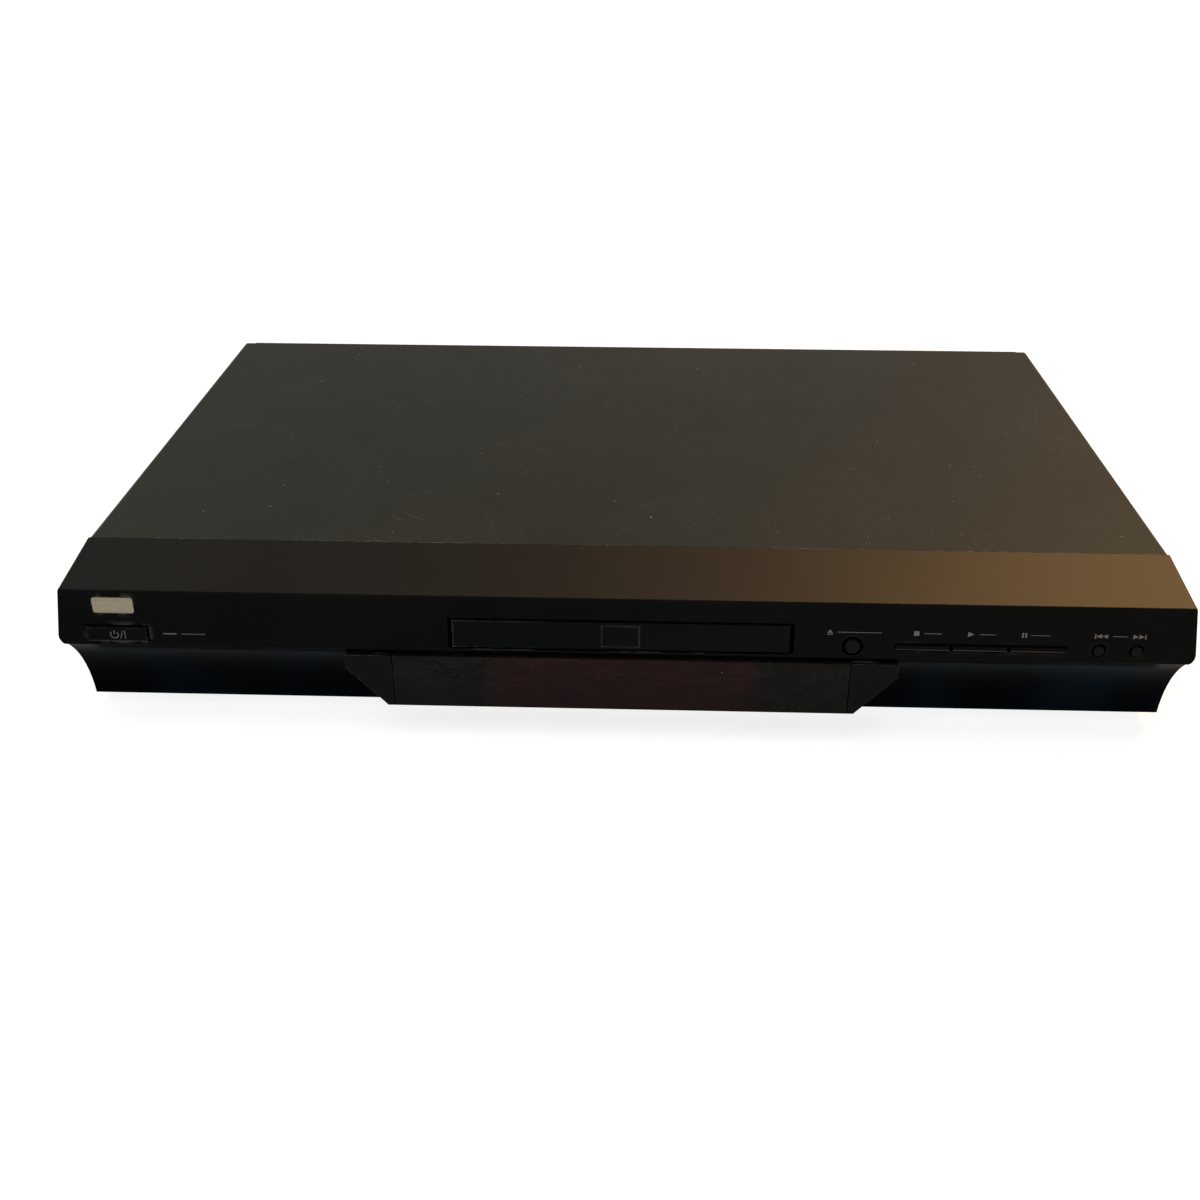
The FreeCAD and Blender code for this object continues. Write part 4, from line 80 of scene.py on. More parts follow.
Colour = tuple[float, float, float]
Span = tuple[float, float]
Spot = tuple[float, float]
Place = tuple[float, float, float]
Feed = Union[float, bpy.types.NodeSocket]

MM = 0.001
UNIT: Span = (0.0, 1.0)
EDGE_SAMPLES = 4
HOLLOW_SAMPLES = 6
WELD = 1e-6


def in_metres(span: Span) -> Span:
    """Give a span of millimetres in metres."""
    return span[0] * MM, span[1] * MM


def cleared(owner: bpy.types.Material | bpy.types.World) -> bpy.types.NodeTree:
    """Give the node tree of a material or world, with nothing in it.

    Args:
        owner: What the nodes are for.

    Returns:
        The empty tree.
    """
    owner.use_nodes = True
    owner.node_tree.nodes.clear()
    return owner.node_tree


class NodeBench:
    """A node tree with short calls for adding nodes and joining sockets."""

    def __init__(self, tree: bpy.types.NodeTree) -> None:
        """Keep the tree that nodes are added to."""
        self.tree = tree

    def add(self, kind: str, **settings: Any) -> bpy.types.Node:
        """Add a node.

        Args:
            kind: Blender's type name, without the ShaderNode that starts it.
            settings: Attributes to set on the new node.

        Returns:
            The new node.
        """
        node = self.tree.nodes.new(f"ShaderNode{kind}")
        for name, value in settings.items():
            setattr(node, name, value)
        return node

    def feed(self, target: bpy.types.NodeSocket, value: Feed | Colour) -> None:
        """Join a socket to a target, or write a plain value into it.

        Args:
            target: Input socket.
            value: Output socket, number or colour.
        """
        if isinstance(value, bpy.types.NodeSocket):
            self.tree.links.new(value, target)
        elif isinstance(value, tuple):
            target.default_value = (*value, 1.0)
        else:
            target.default_value = value

    def calc(self, operation: str, first: Feed, second: Feed = 0.0) -> bpy.types.NodeSocket:
        """Add a Math node.

        Args:
            operation: Name of the operation, such as MAXIMUM.
            first: First operand.
            second: Second operand.

        Returns:
            The result.
        """
        node = self.add("Math", operation=operation)
        self.feed(node.inputs[0], first)
        self.feed(node.inputs[1], second)
        return node.outputs[0]

    def product(self, *values: Feed) -> Feed:
        """Multiply values.

        Args:
            values: Two values or more.

        Returns:
            Their product.
        """
        total = values[0]
        for value in values[1:]:
            total = self.calc("MULTIPLY", total, value)
        return total

    def weigh(self, first: Feed, second: Feed, share: float) -> bpy.types.NodeSocket:
        """Add two values, the second by its share and the first by the rest."""
        return self.calc("ADD", self.product(first, 1.0 - share), self.product(second, share))

    def away(self, value: Feed, middle: float = 0.0) -> bpy.types.NodeSocket:
        """Give how far a value is from a middle, to either side."""
        return self.calc("ABSOLUTE", self.calc("SUBTRACT", value, middle) if middle else value)

    def within(self, value: Feed, half: float, middle: float = 0.0) -> bpy.types.NodeSocket:
        """Give 1 where a value is nearer to a middle than half a width, and 0 elsewhere."""
        return self.calc("LESS_THAN", self.away(value, middle), half)

    def spread(self, value: Feed, old: Span, new: Span = UNIT) -> bpy.types.NodeSocket:
        """Map a value from one span to another, held at its ends.

        Args:
            value: Value to map.
            old: Start and end of the span that it comes from.
            new: Start and end of the span that it goes to.

        Returns:
            The mapped value.
        """
        node = self.add("MapRange")
        for place, number in enumerate((value, *old, *new)):
            self.feed(node.inputs[place], number)
        return node.outputs[0]

    def blend(
        self, share: Feed, first: Feed | Colour, second: Feed | Colour
    ) -> bpy.types.NodeSocket:
        """Mix two colours.

        Args:
            share: How much of the second colour shows.
            first: Colour at a share of 0.
            second: Colour at a share of 1.

        Returns:
            The mixed colour.
        """
        node = self.add("Mix", data_type="RGBA")
        self.feed(node.inputs[0], share)
        self.feed(node.inputs[6], first)
        self.feed(node.inputs[7], second)
        return node.outputs[2]

    def noise(self, place: Feed, scale: Feed, detail: float) -> bpy.types.NodeSocket:
        """Add a noise texture.

        Args:
            place: Point that is looked up.
            scale: How many waves there are to a metre.
            detail: How many finer layers are added.

        Returns:
            The value of the noise.
        """
        node = self.add("TexNoise")
        self.feed(node.inputs["Vector"], place)
        self.feed(node.inputs["Scale"], scale)
        self.feed(node.inputs["Detail"], detail)
        return node.outputs["Fac"]

    def cells(
        self, place: Feed, scale: Feed
    ) -> tuple[bpy.types.NodeSocket, bpy.types.NodeOutputs]:
        """Scatter points over space.

        Args:
            place: Point that is looked up.
            scale: How many points there are to a metre.

        Returns:
            The distance to the nearest point, and three numbers drawn for that point.
        """
        node = self.add("TexVoronoi")
        self.feed(node.inputs["Vector"], place)
        self.feed(node.inputs["Scale"], scale)
        drawn = self.add("SeparateColor")
        self.feed(drawn.inputs[0], node.outputs["Color"])
        return node.outputs["Distance"], drawn.outputs

    def place(self) -> bpy.types.NodeSocket:
        """Give the point on the surface, in metres at rest."""
        return self.add("TexCoord").outputs["Object"]

    def normal(self) -> bpy.types.NodeSocket:
        """Give the way that the surface faces."""
        return self.add("NewGeometry").outputs["Normal"]

    def axes(self, vector: bpy.types.NodeSocket) -> tuple[bpy.types.NodeSocket, ...]:
        """Split a vector.

        Args:
            vector: A point or a direction.

        Returns:
            Its numbers along X, Y and Z.
        """
        node = self.add("SeparateXYZ")
        self.feed(node.inputs[0], vector)
        return tuple(node.outputs)

    def upward(self, old: Span, new: Span = UNIT) -> bpy.types.NodeSocket:
        """Give a number that goes from one end of a span to the other as the surface turns up."""
        return self.spread(self.axes(self.normal())[2], old, new)

    def stretched(self, scale: Place, turn: float = 0.0) -> bpy.types.NodeSocket:
        """Give the point on the surface in a stretched space.

        Args:
            scale: How much each axis is scaled.
            turn: How far the axes are first turned about Z, in degrees.

        Returns:
            The point.
        """
        node = self.add("Mapping", vector_type="TEXTURE")
        self.feed(node.inputs["Vector"], self.place())
        node.inputs["Rotation"].default_value = (0.0, 0.0, math.radians(turn))
        node.inputs["Scale"].default_value = [1.0 / share for share in scale]
        return node.outputs[0]


@dataclass(frozen=True)
class Patches:
    """Noise that comes and goes over a surface."""

    scale: float
    detail: float
    span: Span
    share: Span = UNIT

    def lay(self, bench: NodeBench) -> bpy.types.NodeSocket:
        """Add the noise and spread it over its share."""
        return bench.spread(
            bench.noise(bench.place(), self.scale, self.detail), self.span, self.share
        )


class SurfaceEffect:
    """What several finishes share, as a node group with number sockets."""

    name: str = ""
    inputs: dict[str, float] = {}

    def build(self) -> bpy.types.NodeTree:
        """Make the group.

        Returns:
            The group, with the sockets that its inputs and its results name.
        """
        tree = bpy.data.node_groups.new(self.name, "ShaderNodeTree")
        socket_type = "NodeSocketFloat"
        for title, value in self.inputs.items():
            socket = tree.interface.new_socket(title, in_out="INPUT", socket_type=socket_type)
            socket.default_value = value
        bench = NodeBench(tree)
        results = self.fill(bench, tree.nodes.new("NodeGroupInput").outputs)
        for title in results:
            tree.interface.new_socket(title, in_out="OUTPUT", socket_type=socket_type)
        ends = tree.nodes.new("NodeGroupOutput").inputs
        for title, result in results.items():
            bench.feed(ends[title], result)
        return tree

    def fill(self, bench: NodeBench, given: bpy.types.NodeOutputs) -> dict[str, Feed]:
        """Add the group's nodes.

        Args:
            bench: Where the nodes go.
            given: The group's inputs by name.

        Returns:
            The group's results by name.
        """
        raise NotImplementedError


@dataclass(frozen=True)
class MouldedGrain(SurfaceEffect):
    """Fine pebbled texture of a mould or of sprayed paint."""

    name = "moulded_grain"
    inputs = {"Scale": 2000.0}
    fine_detail: float = 3.0
    coarse_detail: float = 1.0
    coarse_scale: float = 0.37
    coarse_share: float = 0.35

    def fill(self, bench: NodeBench, given: bpy.types.NodeOutputs) -> dict[str, Feed]:
        """Add fine and coarse pebbles.

        Args:
            bench: Where the nodes go.
            given: The group's inputs by name.

        Returns:
            The group's results by name.
        """
        place = bench.place()
        fine = bench.noise(place, given["Scale"], self.fine_detail)
        scale = bench.product(given["Scale"], self.coarse_scale)
        coarse = bench.noise(place, scale, self.coarse_detail)
        return {"Height": bench.weigh(fine, coarse, self.coarse_share)}


@dataclass(frozen=True)
class CloudyTone(SurfaceEffect):
    """Slow change of tone over a surface, with handling marks in it."""

    name = "cloudy_tone"
    inputs = {"Scale": 12.0}
    tone_detail: float = 4.0
    tone_span: Span = (0.3, 0.7)
    smudge_detail: float = 5.0
    smudge_scale: float = 3.1
    smudge_span: Span = (0.5, 0.72)

    def fill(self, bench: NodeBench, given: bpy.types.NodeOutputs) -> dict[str, Feed]:
        """Add wide clouds and smaller smudges.

        Args:
            bench: Where the nodes go.
            given: The group's inputs by name.

        Returns:
            The group's results by name.
        """
        place = bench.place()
        clouds = bench.noise(place, given["Scale"], self.tone_detail)
        scale = bench.product(given["Scale"], self.smudge_scale)
        marks = bench.noise(place, scale, self.smudge_detail)
        return {
            "Tone": bench.spread(clouds, self.tone_span),
            "Smudge": bench.spread(marks, self.smudge_span),
        }


@dataclass(frozen=True)
class SettledDust(SurfaceEffect):
    """Loose specks and a film, thick on what faces up and thin on upright walls."""

    name = "settled_dust"
    inputs = {"Amount": 0.2, "Cells": 180.0}
    speck_size: Span = (0.03, 0.085)
    size_power: float = 3.0
    tone_power: float = 2.0
    lie_turn: Span = (-0.2, 0.8)
    lie_share: Span = (0.035, 1.0)
    film: Patches = Patches(9.0, 6.0, (0.36, 0.70))

    def fill(self, bench: NodeBench, given: bpy.types.NodeOutputs) -> dict[str, Feed]:
        """Add specks and film.

        Args:
            bench: Where the nodes go.
            given: The group's inputs by name.

        Returns:
            The group's results by name.
        """
        distance, drawn = bench.cells(bench.place(), given["Cells"])
        shown = bench.calc("LESS_THAN", drawn[0], given["Amount"])
        size = bench.spread(bench.calc("POWER", drawn[1], self.size_power), UNIT, self.speck_size)
        speck = bench.calc("LESS_THAN", distance, size)
        pale = bench.calc("POWER", drawn[2], self.tone_power)
        lie = bench.upward(self.lie_turn, self.lie_share)
        return {
            "Mask": bench.product(shown, speck, pale, lie),
            "Film": bench.product(self.film.lay(bench), lie, given["Amount"]),
        }


@dataclass(frozen=True)
class PaintFlecks(SurfaceEffect):
    """Tiny light flecks, closer together in some patches than in others."""

    name = "paint_flecks"
    inputs = {"Cells": 760.0}
    shown_share: float = 0.4
    fleck_size: Span = (0.14, 0.36)
    lie_turn: Span = (0.0, 0.8)
    lie_share: Span = (0.2, 1.0)
    patches: Patches = Patches(34.0, 3.0, (0.38, 0.68), (0.15, 1.0))

    def fill(self, bench: NodeBench, given: bpy.types.NodeOutputs) -> dict[str, Feed]:
        """Add the flecks.

        Args:
            bench: Where the nodes go.
            given: The group's inputs by name.

        Returns:
            The group's results by name.
        """
        distance, drawn = bench.cells(bench.place(), given["Cells"])
        shown = bench.calc("LESS_THAN", drawn[0], self.shown_share)
        size = bench.spread(drawn[1], UNIT, self.fleck_size)
        fleck = bench.calc("LESS_THAN", distance, size)
        lie = bench.upward(self.lie_turn, self.lie_share)
        return {"Mask": bench.product(shown, fleck, drawn[2], self.patches.lay(bench), lie)}


@dataclass(frozen=True)
class CornerDust(SurfaceEffect):
    """Pale dust left by wiping, in the corners beside what stands proud."""

    name = "corner_dust"
    inputs = {"Reach": 0.0016, "Amount": 0.5}
    near_span: Span = (0.97, 0.7)
    deep_span: Span = (0.2, 0.45)
    lie_turn: Span = (-0.6, -0.2)
    patches: Patches = Patches(110.0, 6.0, (0.48, 0.64))

    def fill(self, bench: NodeBench, given: bpy.types.NodeOutputs) -> dict[str, Feed]:
        """Add dust where the surface is half hidden.

        Args:
            bench: Where the nodes go.
            given: The group's inputs by name.

        Returns:
            The group's results by name.
        """
        hollow = bench.add("AmbientOcclusion", samples=HOLLOW_SAMPLES)
        bench.feed(hollow.inputs["Distance"], given["Reach"])
        near = bench.spread(hollow.outputs["AO"], self.near_span)
        clear = bench.spread(hollow.outputs["AO"], self.deep_span)
        lie = bench.upward(self.lie_turn)
        return {"Mask": bench.product(near, clear, self.patches.lay(bench), lie, given["Amount"])}


@dataclass(frozen=True)
class WipeMarks(SurfaceEffect):
    """Faint bowed streaks that a cloth left behind, here and there."""

    name = "wipe_marks"
    inputs = {"Amount": 0.01}
    bow_scale: float = 11.0
    bow_detail: float = 0.6
    bow_middle: float = 0.5
    streak_span: Span = (0.016, 0.0)
    patches: Patches = Patches(19.0, 3.0, (0.46, 0.64))
    breaks: Patches = Patches(420.0, 4.0, (0.35, 0.65), (0.3, 1.0))

    def fill(self, bench: NodeBench, given: bpy.types.NodeOutputs) -> dict[str, Feed]:
        """Add streaks along the middle line of a noise.

        Args:
            bench: Where the nodes go.
            given: The group's inputs by name.

        Returns:
            The group's results by name.
        """
        bows = bench.noise(bench.place(), self.bow_scale, self.bow_detail)
        streaks = bench.spread(bench.away(bows, self.bow_middle), self.streak_span)
        patches, breaks = self.patches.lay(bench), self.breaks.lay(bench)
        return {"Mask": bench.product(streaks, patches, breaks, given["Amount"])}


@dataclass(frozen=True)
class FineScratches(SurfaceEffect):
    """Sparse hairline scratches in three directions."""

    name = "fine_scratches"
    inputs = {"Amount": 0.3}
    turns: tuple[float, ...] = (24.0, -38.0, 73.0)
    along: tuple[float, ...] = (31.0, 24.0, 37.0)
    across: tuple[float, ...] = (1500.0, 1150.0, 1800.0)
    line_span: Span = (0.79, 0.84)
    lie_turn: Span = (0.3, 0.8)
    patches: Patches = Patches(17.0, 2.0, (0.57, 0.68))

    def fill(self, bench: NodeBench, given: bpy.types.NodeOutputs) -> dict[str, Feed]:
        """Add one run of lines for each turn.

        Args:
            bench: Where the nodes go.
            given: The group's inputs by name.

        Returns:
            The group's results by name.
        """
        found: Feed = 0.0
        for turn, along, across in zip(self.turns, self.along, self.across):
            lines = bench.noise(bench.stretched((along, across, along), turn), 1.0, 0.0)
            found = bench.calc("MAXIMUM", found, bench.spread(lines, self.line_span))
        lie = bench.upward(self.lie_turn)
        return {"Mask": bench.product(found, self.patches.lay(bench), lie, given["Amount"])}


@dataclass(frozen=True)
class BrushedLines(SurfaceEffect):
    """Grain of rolled or brushed metal along X, with a slight spangle."""

    name = "brushed_lines"
    inputs = {"Spangle": 160.0}
    stretch: Place = (30.0, 2600.0, 2600.0)
    line_detail: float = 2.0
    line_share: float = 0.6

    def fill(self, bench: NodeBench, given: bpy.types.NodeOutputs) -> dict[str, Feed]:
        """Add lines and spangles.

        Args:
            bench: Where the nodes go.
            given: The group's inputs by name.

        Returns:
            The group's results by name.
        """
        lines = bench.noise(bench.stretched(self.stretch), 1.0, self.line_detail)
        drawn = bench.cells(bench.place(), given["Spangle"])[1]
        return {"Tone": bench.weigh(drawn[0], lines, self.line_share), "Height": lines}


@dataclass(frozen=True)
class WornEdges(SurfaceEffect):
    """Rubbed pale corners, where a rounded normal leaves the flat one; on the cheeks, the door and
    the keys they are partly a painted edge highlight.
    """

    name = "worn_edges"
    inputs = {"Radius": 0.0004, "Amount": 0.5}
    turn_span: Span = (0.995, 0.86)
    rubbing: Patches = Patches(420.0, 4.0, (0.35, 0.65))
    patches: Patches = Patches(34.0, 2.0, (0.40, 0.62), (0.25, 1.0))

    def fill(self, bench: NodeBench, given: bpy.types.NodeOutputs) -> dict[str, Feed]:
        """Compare the two normals.

        Args:
            bench: Where the nodes go.
            given: The group's inputs by name.

        Returns:
            The group's results by name.
        """
        soft = bench.add("Bevel", samples=EDGE_SAMPLES)
        bench.feed(soft.inputs["Radius"], given["Radius"])
        turn = bench.add("VectorMath", operation="DOT_PRODUCT")
        bench.feed(turn.inputs[0], soft.outputs[0])
        bench.feed(turn.inputs[1], bench.normal())
        edge = bench.spread(turn.outputs["Value"], self.turn_span)
        rubbing, patches = self.rubbing.lay(bench), self.patches.lay(bench)
        return {"Mask": bench.product(edge, rubbing, patches, given["Amount"])}


class Effect(Enum):
    """The effects that finishes choose from."""

    GRAIN = MouldedGrain()
    CLOUDS = CloudyTone()
    DUST = SettledDust()
    FLECKS = PaintFlecks()
    CORNERS = CornerDust()
    WIPES = WipeMarks()
    SCRATCHES = FineScratches()
    BRUSHING = BrushedLines()
    EDGES = WornEdges()


class EffectShelf:
    """Keeps each effect's group, which is built once."""

    def __init__(self) -> None:
        """Start with an empty shelf."""
        self.groups: dict[Effect, bpy.types.NodeTree] = {}

    def group(self, effect: Effect) -> bpy.types.NodeTree:
        """Give the group of an effect.

        Args:
            effect: Effect that is wanted.

        Returns:
            Its group, built the first time that it is asked for.
        """
        if effect not in self.groups:
            self.groups[effect] = effect.value.build()
        return self.groups[effect]


class PaintBench(NodeBench):
    """The bench of a material, with the shelf of effects at hand."""

    def __init__(self, tree: bpy.types.NodeTree, shelf: EffectShelf) -> None:
        """Keep the material's tree and the shelf."""
        super().__init__(tree)
        self.shelf = shelf

    def put(self, effect: Effect, **values: float) -> bpy.types.NodeOutputs:
        """Place an effect in the material.

        Args:
            effect: Effect to place.
            values: Numbers for the group's inputs, by name.

        Returns:
            The outputs of the placed group.
        """
        node = self.add("Group", node_tree=self.shelf.group(effect))
        for name, value in values.items():
            node.inputs[name].default_value = value
        return node.outputs


@dataclass(frozen=True)
class Finish:
    """A surface: its colour, its gloss and what time has left on it. Lengths are millimetres."""

    slot: str
    colour: Colour
    tint: Colour
    roughness: float = 0.4
    rough_span: float = 0.08
    specular: float = 0.3
    metallic: float = 0.0
    grain: float = 2000.0
    grain_depth: float = 0.02
    grain_strength: float = 0.6
    edge_round: float = 0.25
    cloud: float = 14.0
    speckle: float = 0.0
    dust: float = 0.0
    dust_film: float = 0.02
    scratches: float = 0.0
    wear: float = 0.0
    wear_reach: float = 0.4
    corner_dust: float = 0.0
    corner_reach: float = 1.6
    wipes: float = 0.0
    wear_and_highlight_colour: Colour = (0.10, 0.10, 0.095)
    dust_colour: Colour = (0.42, 0.40, 0.36)

    def build(self, shelf: EffectShelf) -> bpy.types.Material:
        """Make the material.

        Args:
            shelf: Where the shared effects come from.

        Returns:
            The finished material.
        """
        material = bpy.data.materials.new(self.slot)
        bench = PaintBench(cleared(material), shelf)
        surface = bench.add("BsdfPrincipled")
        bench.feed(bench.add("OutputMaterial").inputs["Surface"], surface.outputs[0])
        clouds = bench.put(Effect.CLOUDS, Scale=self.cloud)
        bench.feed(surface.inputs["Base Color"], self.aged(bench, self.tone(bench, clouds)))
        bench.feed(surface.inputs["Roughness"], self.gloss(bench, clouds))
        bench.feed(surface.inputs["Normal"], self.relief(bench))
        self.plain_values(bench, surface)
        return material

    def tone(self, bench: PaintBench, clouds: bpy.types.NodeOutputs) -> Feed:
        """Give the clean colour over the surface."""
        return bench.blend(clouds["Tone"], self.colour, self.tint)

    def gloss(self, bench: PaintBench, clouds: bpy.types.NodeOutputs) -> Feed:
        """Give the roughness over the surface."""
        low, high = self.roughness - self.rough_span / 2, self.roughness + self.rough_span / 2
        return bench.spread(clouds["Smudge"], UNIT, (low, high))

    def height(self, bench: PaintBench) -> Feed:
        """Give the height of the fine grain."""
        return bench.put(Effect.GRAIN, Scale=self.grain)["Height"]

    def relief(self, bench: PaintBench) -> Feed:
        """Raise the grain over edges that are slightly rounded.

        Args:
            bench: Material in the making.

        Returns:
            The normal of the surface.
        """
        bump = bench.add("Bump")
        bump.inputs["Strength"].default_value = self.grain_strength
        bump.inputs["Distance"].default_value = self.grain_depth * MM
        bench.feed(bump.inputs["Height"], self.height(bench))
        soft = bench.add("Bevel", samples=EDGE_SAMPLES)
        soft.inputs["Radius"].default_value = self.edge_round * MM
        bench.feed(bump.inputs["Normal"], soft.outputs[0])
        return bump.outputs[0]

    def plain_values(self, bench: PaintBench, surface: bpy.types.Node) -> None:
        """Write the values that are the same all over the surface.

        Args:
            bench: Material in the making; not used here.
            surface: The material's shader.
        """
        surface.inputs["Metallic"].default_value = self.metallic
        surface.inputs["Specular IOR Level"].default_value = self.specular

    def rubbed(self, bench: PaintBench) -> Feed:
        """Give the mask of the rubbed edges, which on some finishes are partly a painted edge
        highlight.
        """
        return bench.put(Effect.EDGES, Amount=self.wear, Radius=self.wear_reach * MM)["Mask"]

    def aged(self, bench: PaintBench, colour: Feed) -> Feed:
        """Lay flecks, rubbed edges, scratches and dust over a clean colour; on some finishes the
        rubbed edges are partly a painted highlight.

        Args:
            bench: Material in the making.
            colour: The clean colour.

        Returns:
            The colour with all that lies on it.
        """
        if self.speckle:
            flecks = bench.product(bench.put(Effect.FLECKS)["Mask"], self.speckle)
            colour = bench.blend(flecks, colour, self.dust_colour)
        if self.wear:
            colour = bench.blend(self.rubbed(bench), colour, self.wear_and_highlight_colour)
        if self.corner_dust:
            reach = self.corner_reach * MM
            left = bench.put(Effect.CORNERS, Amount=self.corner_dust, Reach=reach)["Mask"]
            colour = bench.blend(left, colour, self.dust_colour)
        if self.wipes:
            streaks = bench.put(Effect.WIPES, Amount=self.wipes)["Mask"]
            colour = bench.blend(streaks, colour, self.dust_colour)
        if self.scratches:
            lines = bench.put(Effect.SCRATCHES, Amount=self.scratches)["Mask"]
            colour = bench.blend(lines, colour, self.wear_and_highlight_colour)
        if self.dust:
            settled = bench.put(Effect.DUST, Amount=self.dust)
            film = bench.product(settled["Film"], self.dust_film)
            colour = bench.blend(film, colour, self.dust_colour)
            colour = bench.blend(settled["Mask"], colour, self.dust_colour)
        return colour


@dataclass(frozen=True)
class Metal(Finish):
    """Bare or plated metal with rolling lines."""

    metallic: float = 1.0
    specular: float = 0.5
    grain_strength: float = 0.4
    edge_round: float = 0.15
    spangle: float = 160.0
    line_span: Span = (0.25, 0.75)

    def tone(self, bench: PaintBench, clouds: bpy.types.NodeOutputs) -> Feed:
        """Give the metal's colour, streaked along its grain."""
        lines = bench.put(Effect.BRUSHING, Spangle=self.spangle)["Tone"]
        return bench.blend(bench.spread(lines, self.line_span), self.colour, self.tint)

    def height(self, bench: PaintBench) -> Feed:
        """Give the height of the rolling lines."""
        return bench.put(Effect.BRUSHING, Spangle=self.spangle)["Height"]


@dataclass(frozen=True)
class FacePiece(Finish):
    """A piece of the face, painted black as shade where it lies behind the surface, in the gaps
    round the keys.
    """

    gap_shade_depth: Span = (-145.75, -145.35)
    gap_half_width: float = 212.0
    gap_level: float = 51.8
    gap_half_height: float = 12.1
    gap_shade_colour: Colour = (0.0002, 0.0002, 0.0002)

    def face(self, bench: PaintBench) -> tuple[Feed, Feed]:
        """Find the face with its openings.

        Args:
            bench: Material in the making.

        Returns:
            The depth of the point, and the mask of the face.
        """
        x, y, z = bench.axes(bench.place())
        across = bench.within(x, self.gap_half_width * MM)
        up = bench.within(z, self.gap_half_height * MM, self.gap_level * MM)
        return y, bench.product(across, up)

    def aged(self, bench: PaintBench, colour: Feed) -> Feed:
        """Age the piece and paint its gaps black, as the shade in them.

        Args:
            bench: Material in the making.
            colour: The clean colour.

        Returns:
            The colour with all that lies on it.
        """
        depth, face = self.face(bench)
        # painted shade: black where the surface lies behind the face
        gap_shade = bench.product(bench.spread(depth, in_metres(self.gap_shade_depth)), face)
        return bench.blend(gap_shade, super().aged(bench, colour), self.gap_shade_colour)


@dataclass(frozen=True)
class FrontMoulding(FacePiece):
    """Black front moulding: lacquered bevel, dull face, glossy cove with a blue painted reflection.
    """

    bevel_level: float = 64.2
    cove_level: float = 39.5
    zone_edge: float = 0.07
    end_turn: Span = (0.9, 0.6)
    bevel_colour: Colour = (0.0022, 0.0025, 0.0018)
    bevel_roughness: float = 0.49
    lacquer: float = 0.40
    cove_reflection_colour: Colour = (0.0003, 0.0010, 0.0017)
    cove_reflection_tint: Colour = (0.0014, 0.0044, 0.0074)
    cove_roughness: float = 0.22
    streak_stretch: Place = (30.0, 30.0, 9.0)
    streak_detail: float = 3.0
    streak_span: Span = (0.43, 0.66)
    opening_wear: float = 0.15

    def rubbed(self, bench: PaintBench) -> Feed:
        """Give the mask of the rubbed edges, few of them round the openings."""
        share = bench.spread(self.face(bench)[1], UNIT, (1.0, self.opening_wear))
        return bench.product(super().rubbed(bench), share)

    def zones(self, bench: PaintBench) -> tuple[Feed, Feed]:
        """Find the bevel and the cove, which stops at the moulding's ends.

        Args:
            bench: Material in the making.

        Returns:
            The masks of the bevel and of the cove.
        """
        level = bench.axes(bench.place())[2]
        edge = self.zone_edge
        above = in_metres((self.bevel_level - edge, self.bevel_level + edge))
        below = in_metres((self.cove_level + edge, self.cove_level - edge))
        sideways = bench.away(bench.axes(bench.normal())[0])
        cove = bench.product(bench.spread(level, below), bench.spread(sideways, self.end_turn))
        return bench.spread(level, above), cove

    def tone(self, bench: PaintBench, clouds: bpy.types.NodeOutputs) -> Feed:
        """Give a brown black on the bevel and a blue black in the cove, where the blue is a painted
        reflection.

        Args:
            bench: Material in the making.
            clouds: Slow change of tone.

        Returns:
            The clean colour.
        """
        bevel, cove = self.zones(bench)
        # painted reflection: the cove's streaked blue black stands for reflected blue light
        lines = bench.noise(bench.stretched(self.streak_stretch), 1.0, self.streak_detail)
        streaks = bench.spread(lines, self.streak_span)
        hollow = bench.blend(streaks, self.cove_reflection_colour, self.cove_reflection_tint)
        lower = bench.blend(cove, super().tone(bench, clouds), hollow)
        return bench.blend(bevel, lower, self.bevel_colour)

    def gloss(self, bench: PaintBench, clouds: bpy.types.NodeOutputs) -> Feed:
        """Give a satin bevel, a dull face and a glossy cove.

        Args:
            bench: Material in the making.
            clouds: Slow change of tone, with smudges.

        Returns:
            The roughness.
        """
        bevel, cove = self.zones(bench)
        rougher = bench.product(bevel, self.bevel_roughness - self.roughness)
        smoother = bench.product(cove, self.roughness - self.cove_roughness)
        lower = bench.calc("SUBTRACT", super().gloss(bench, clouds), smoother)
        return bench.calc("ADD", lower, rougher)

    def plain_values(self, bench: PaintBench, surface: bpy.types.Node) -> None:
        """Write the plain values and lacquer the bevel alone.

        Args:
            bench: Material in the making.
            surface: The material's shader.
        """
        super().plain_values(bench, surface)
        bevel = self.zones(bench)[0]
        bench.feed(surface.inputs["Coat Weight"], bench.product(bevel, self.lacquer))
        surface.inputs["Coat Roughness"].default_value = self.bevel_roughness


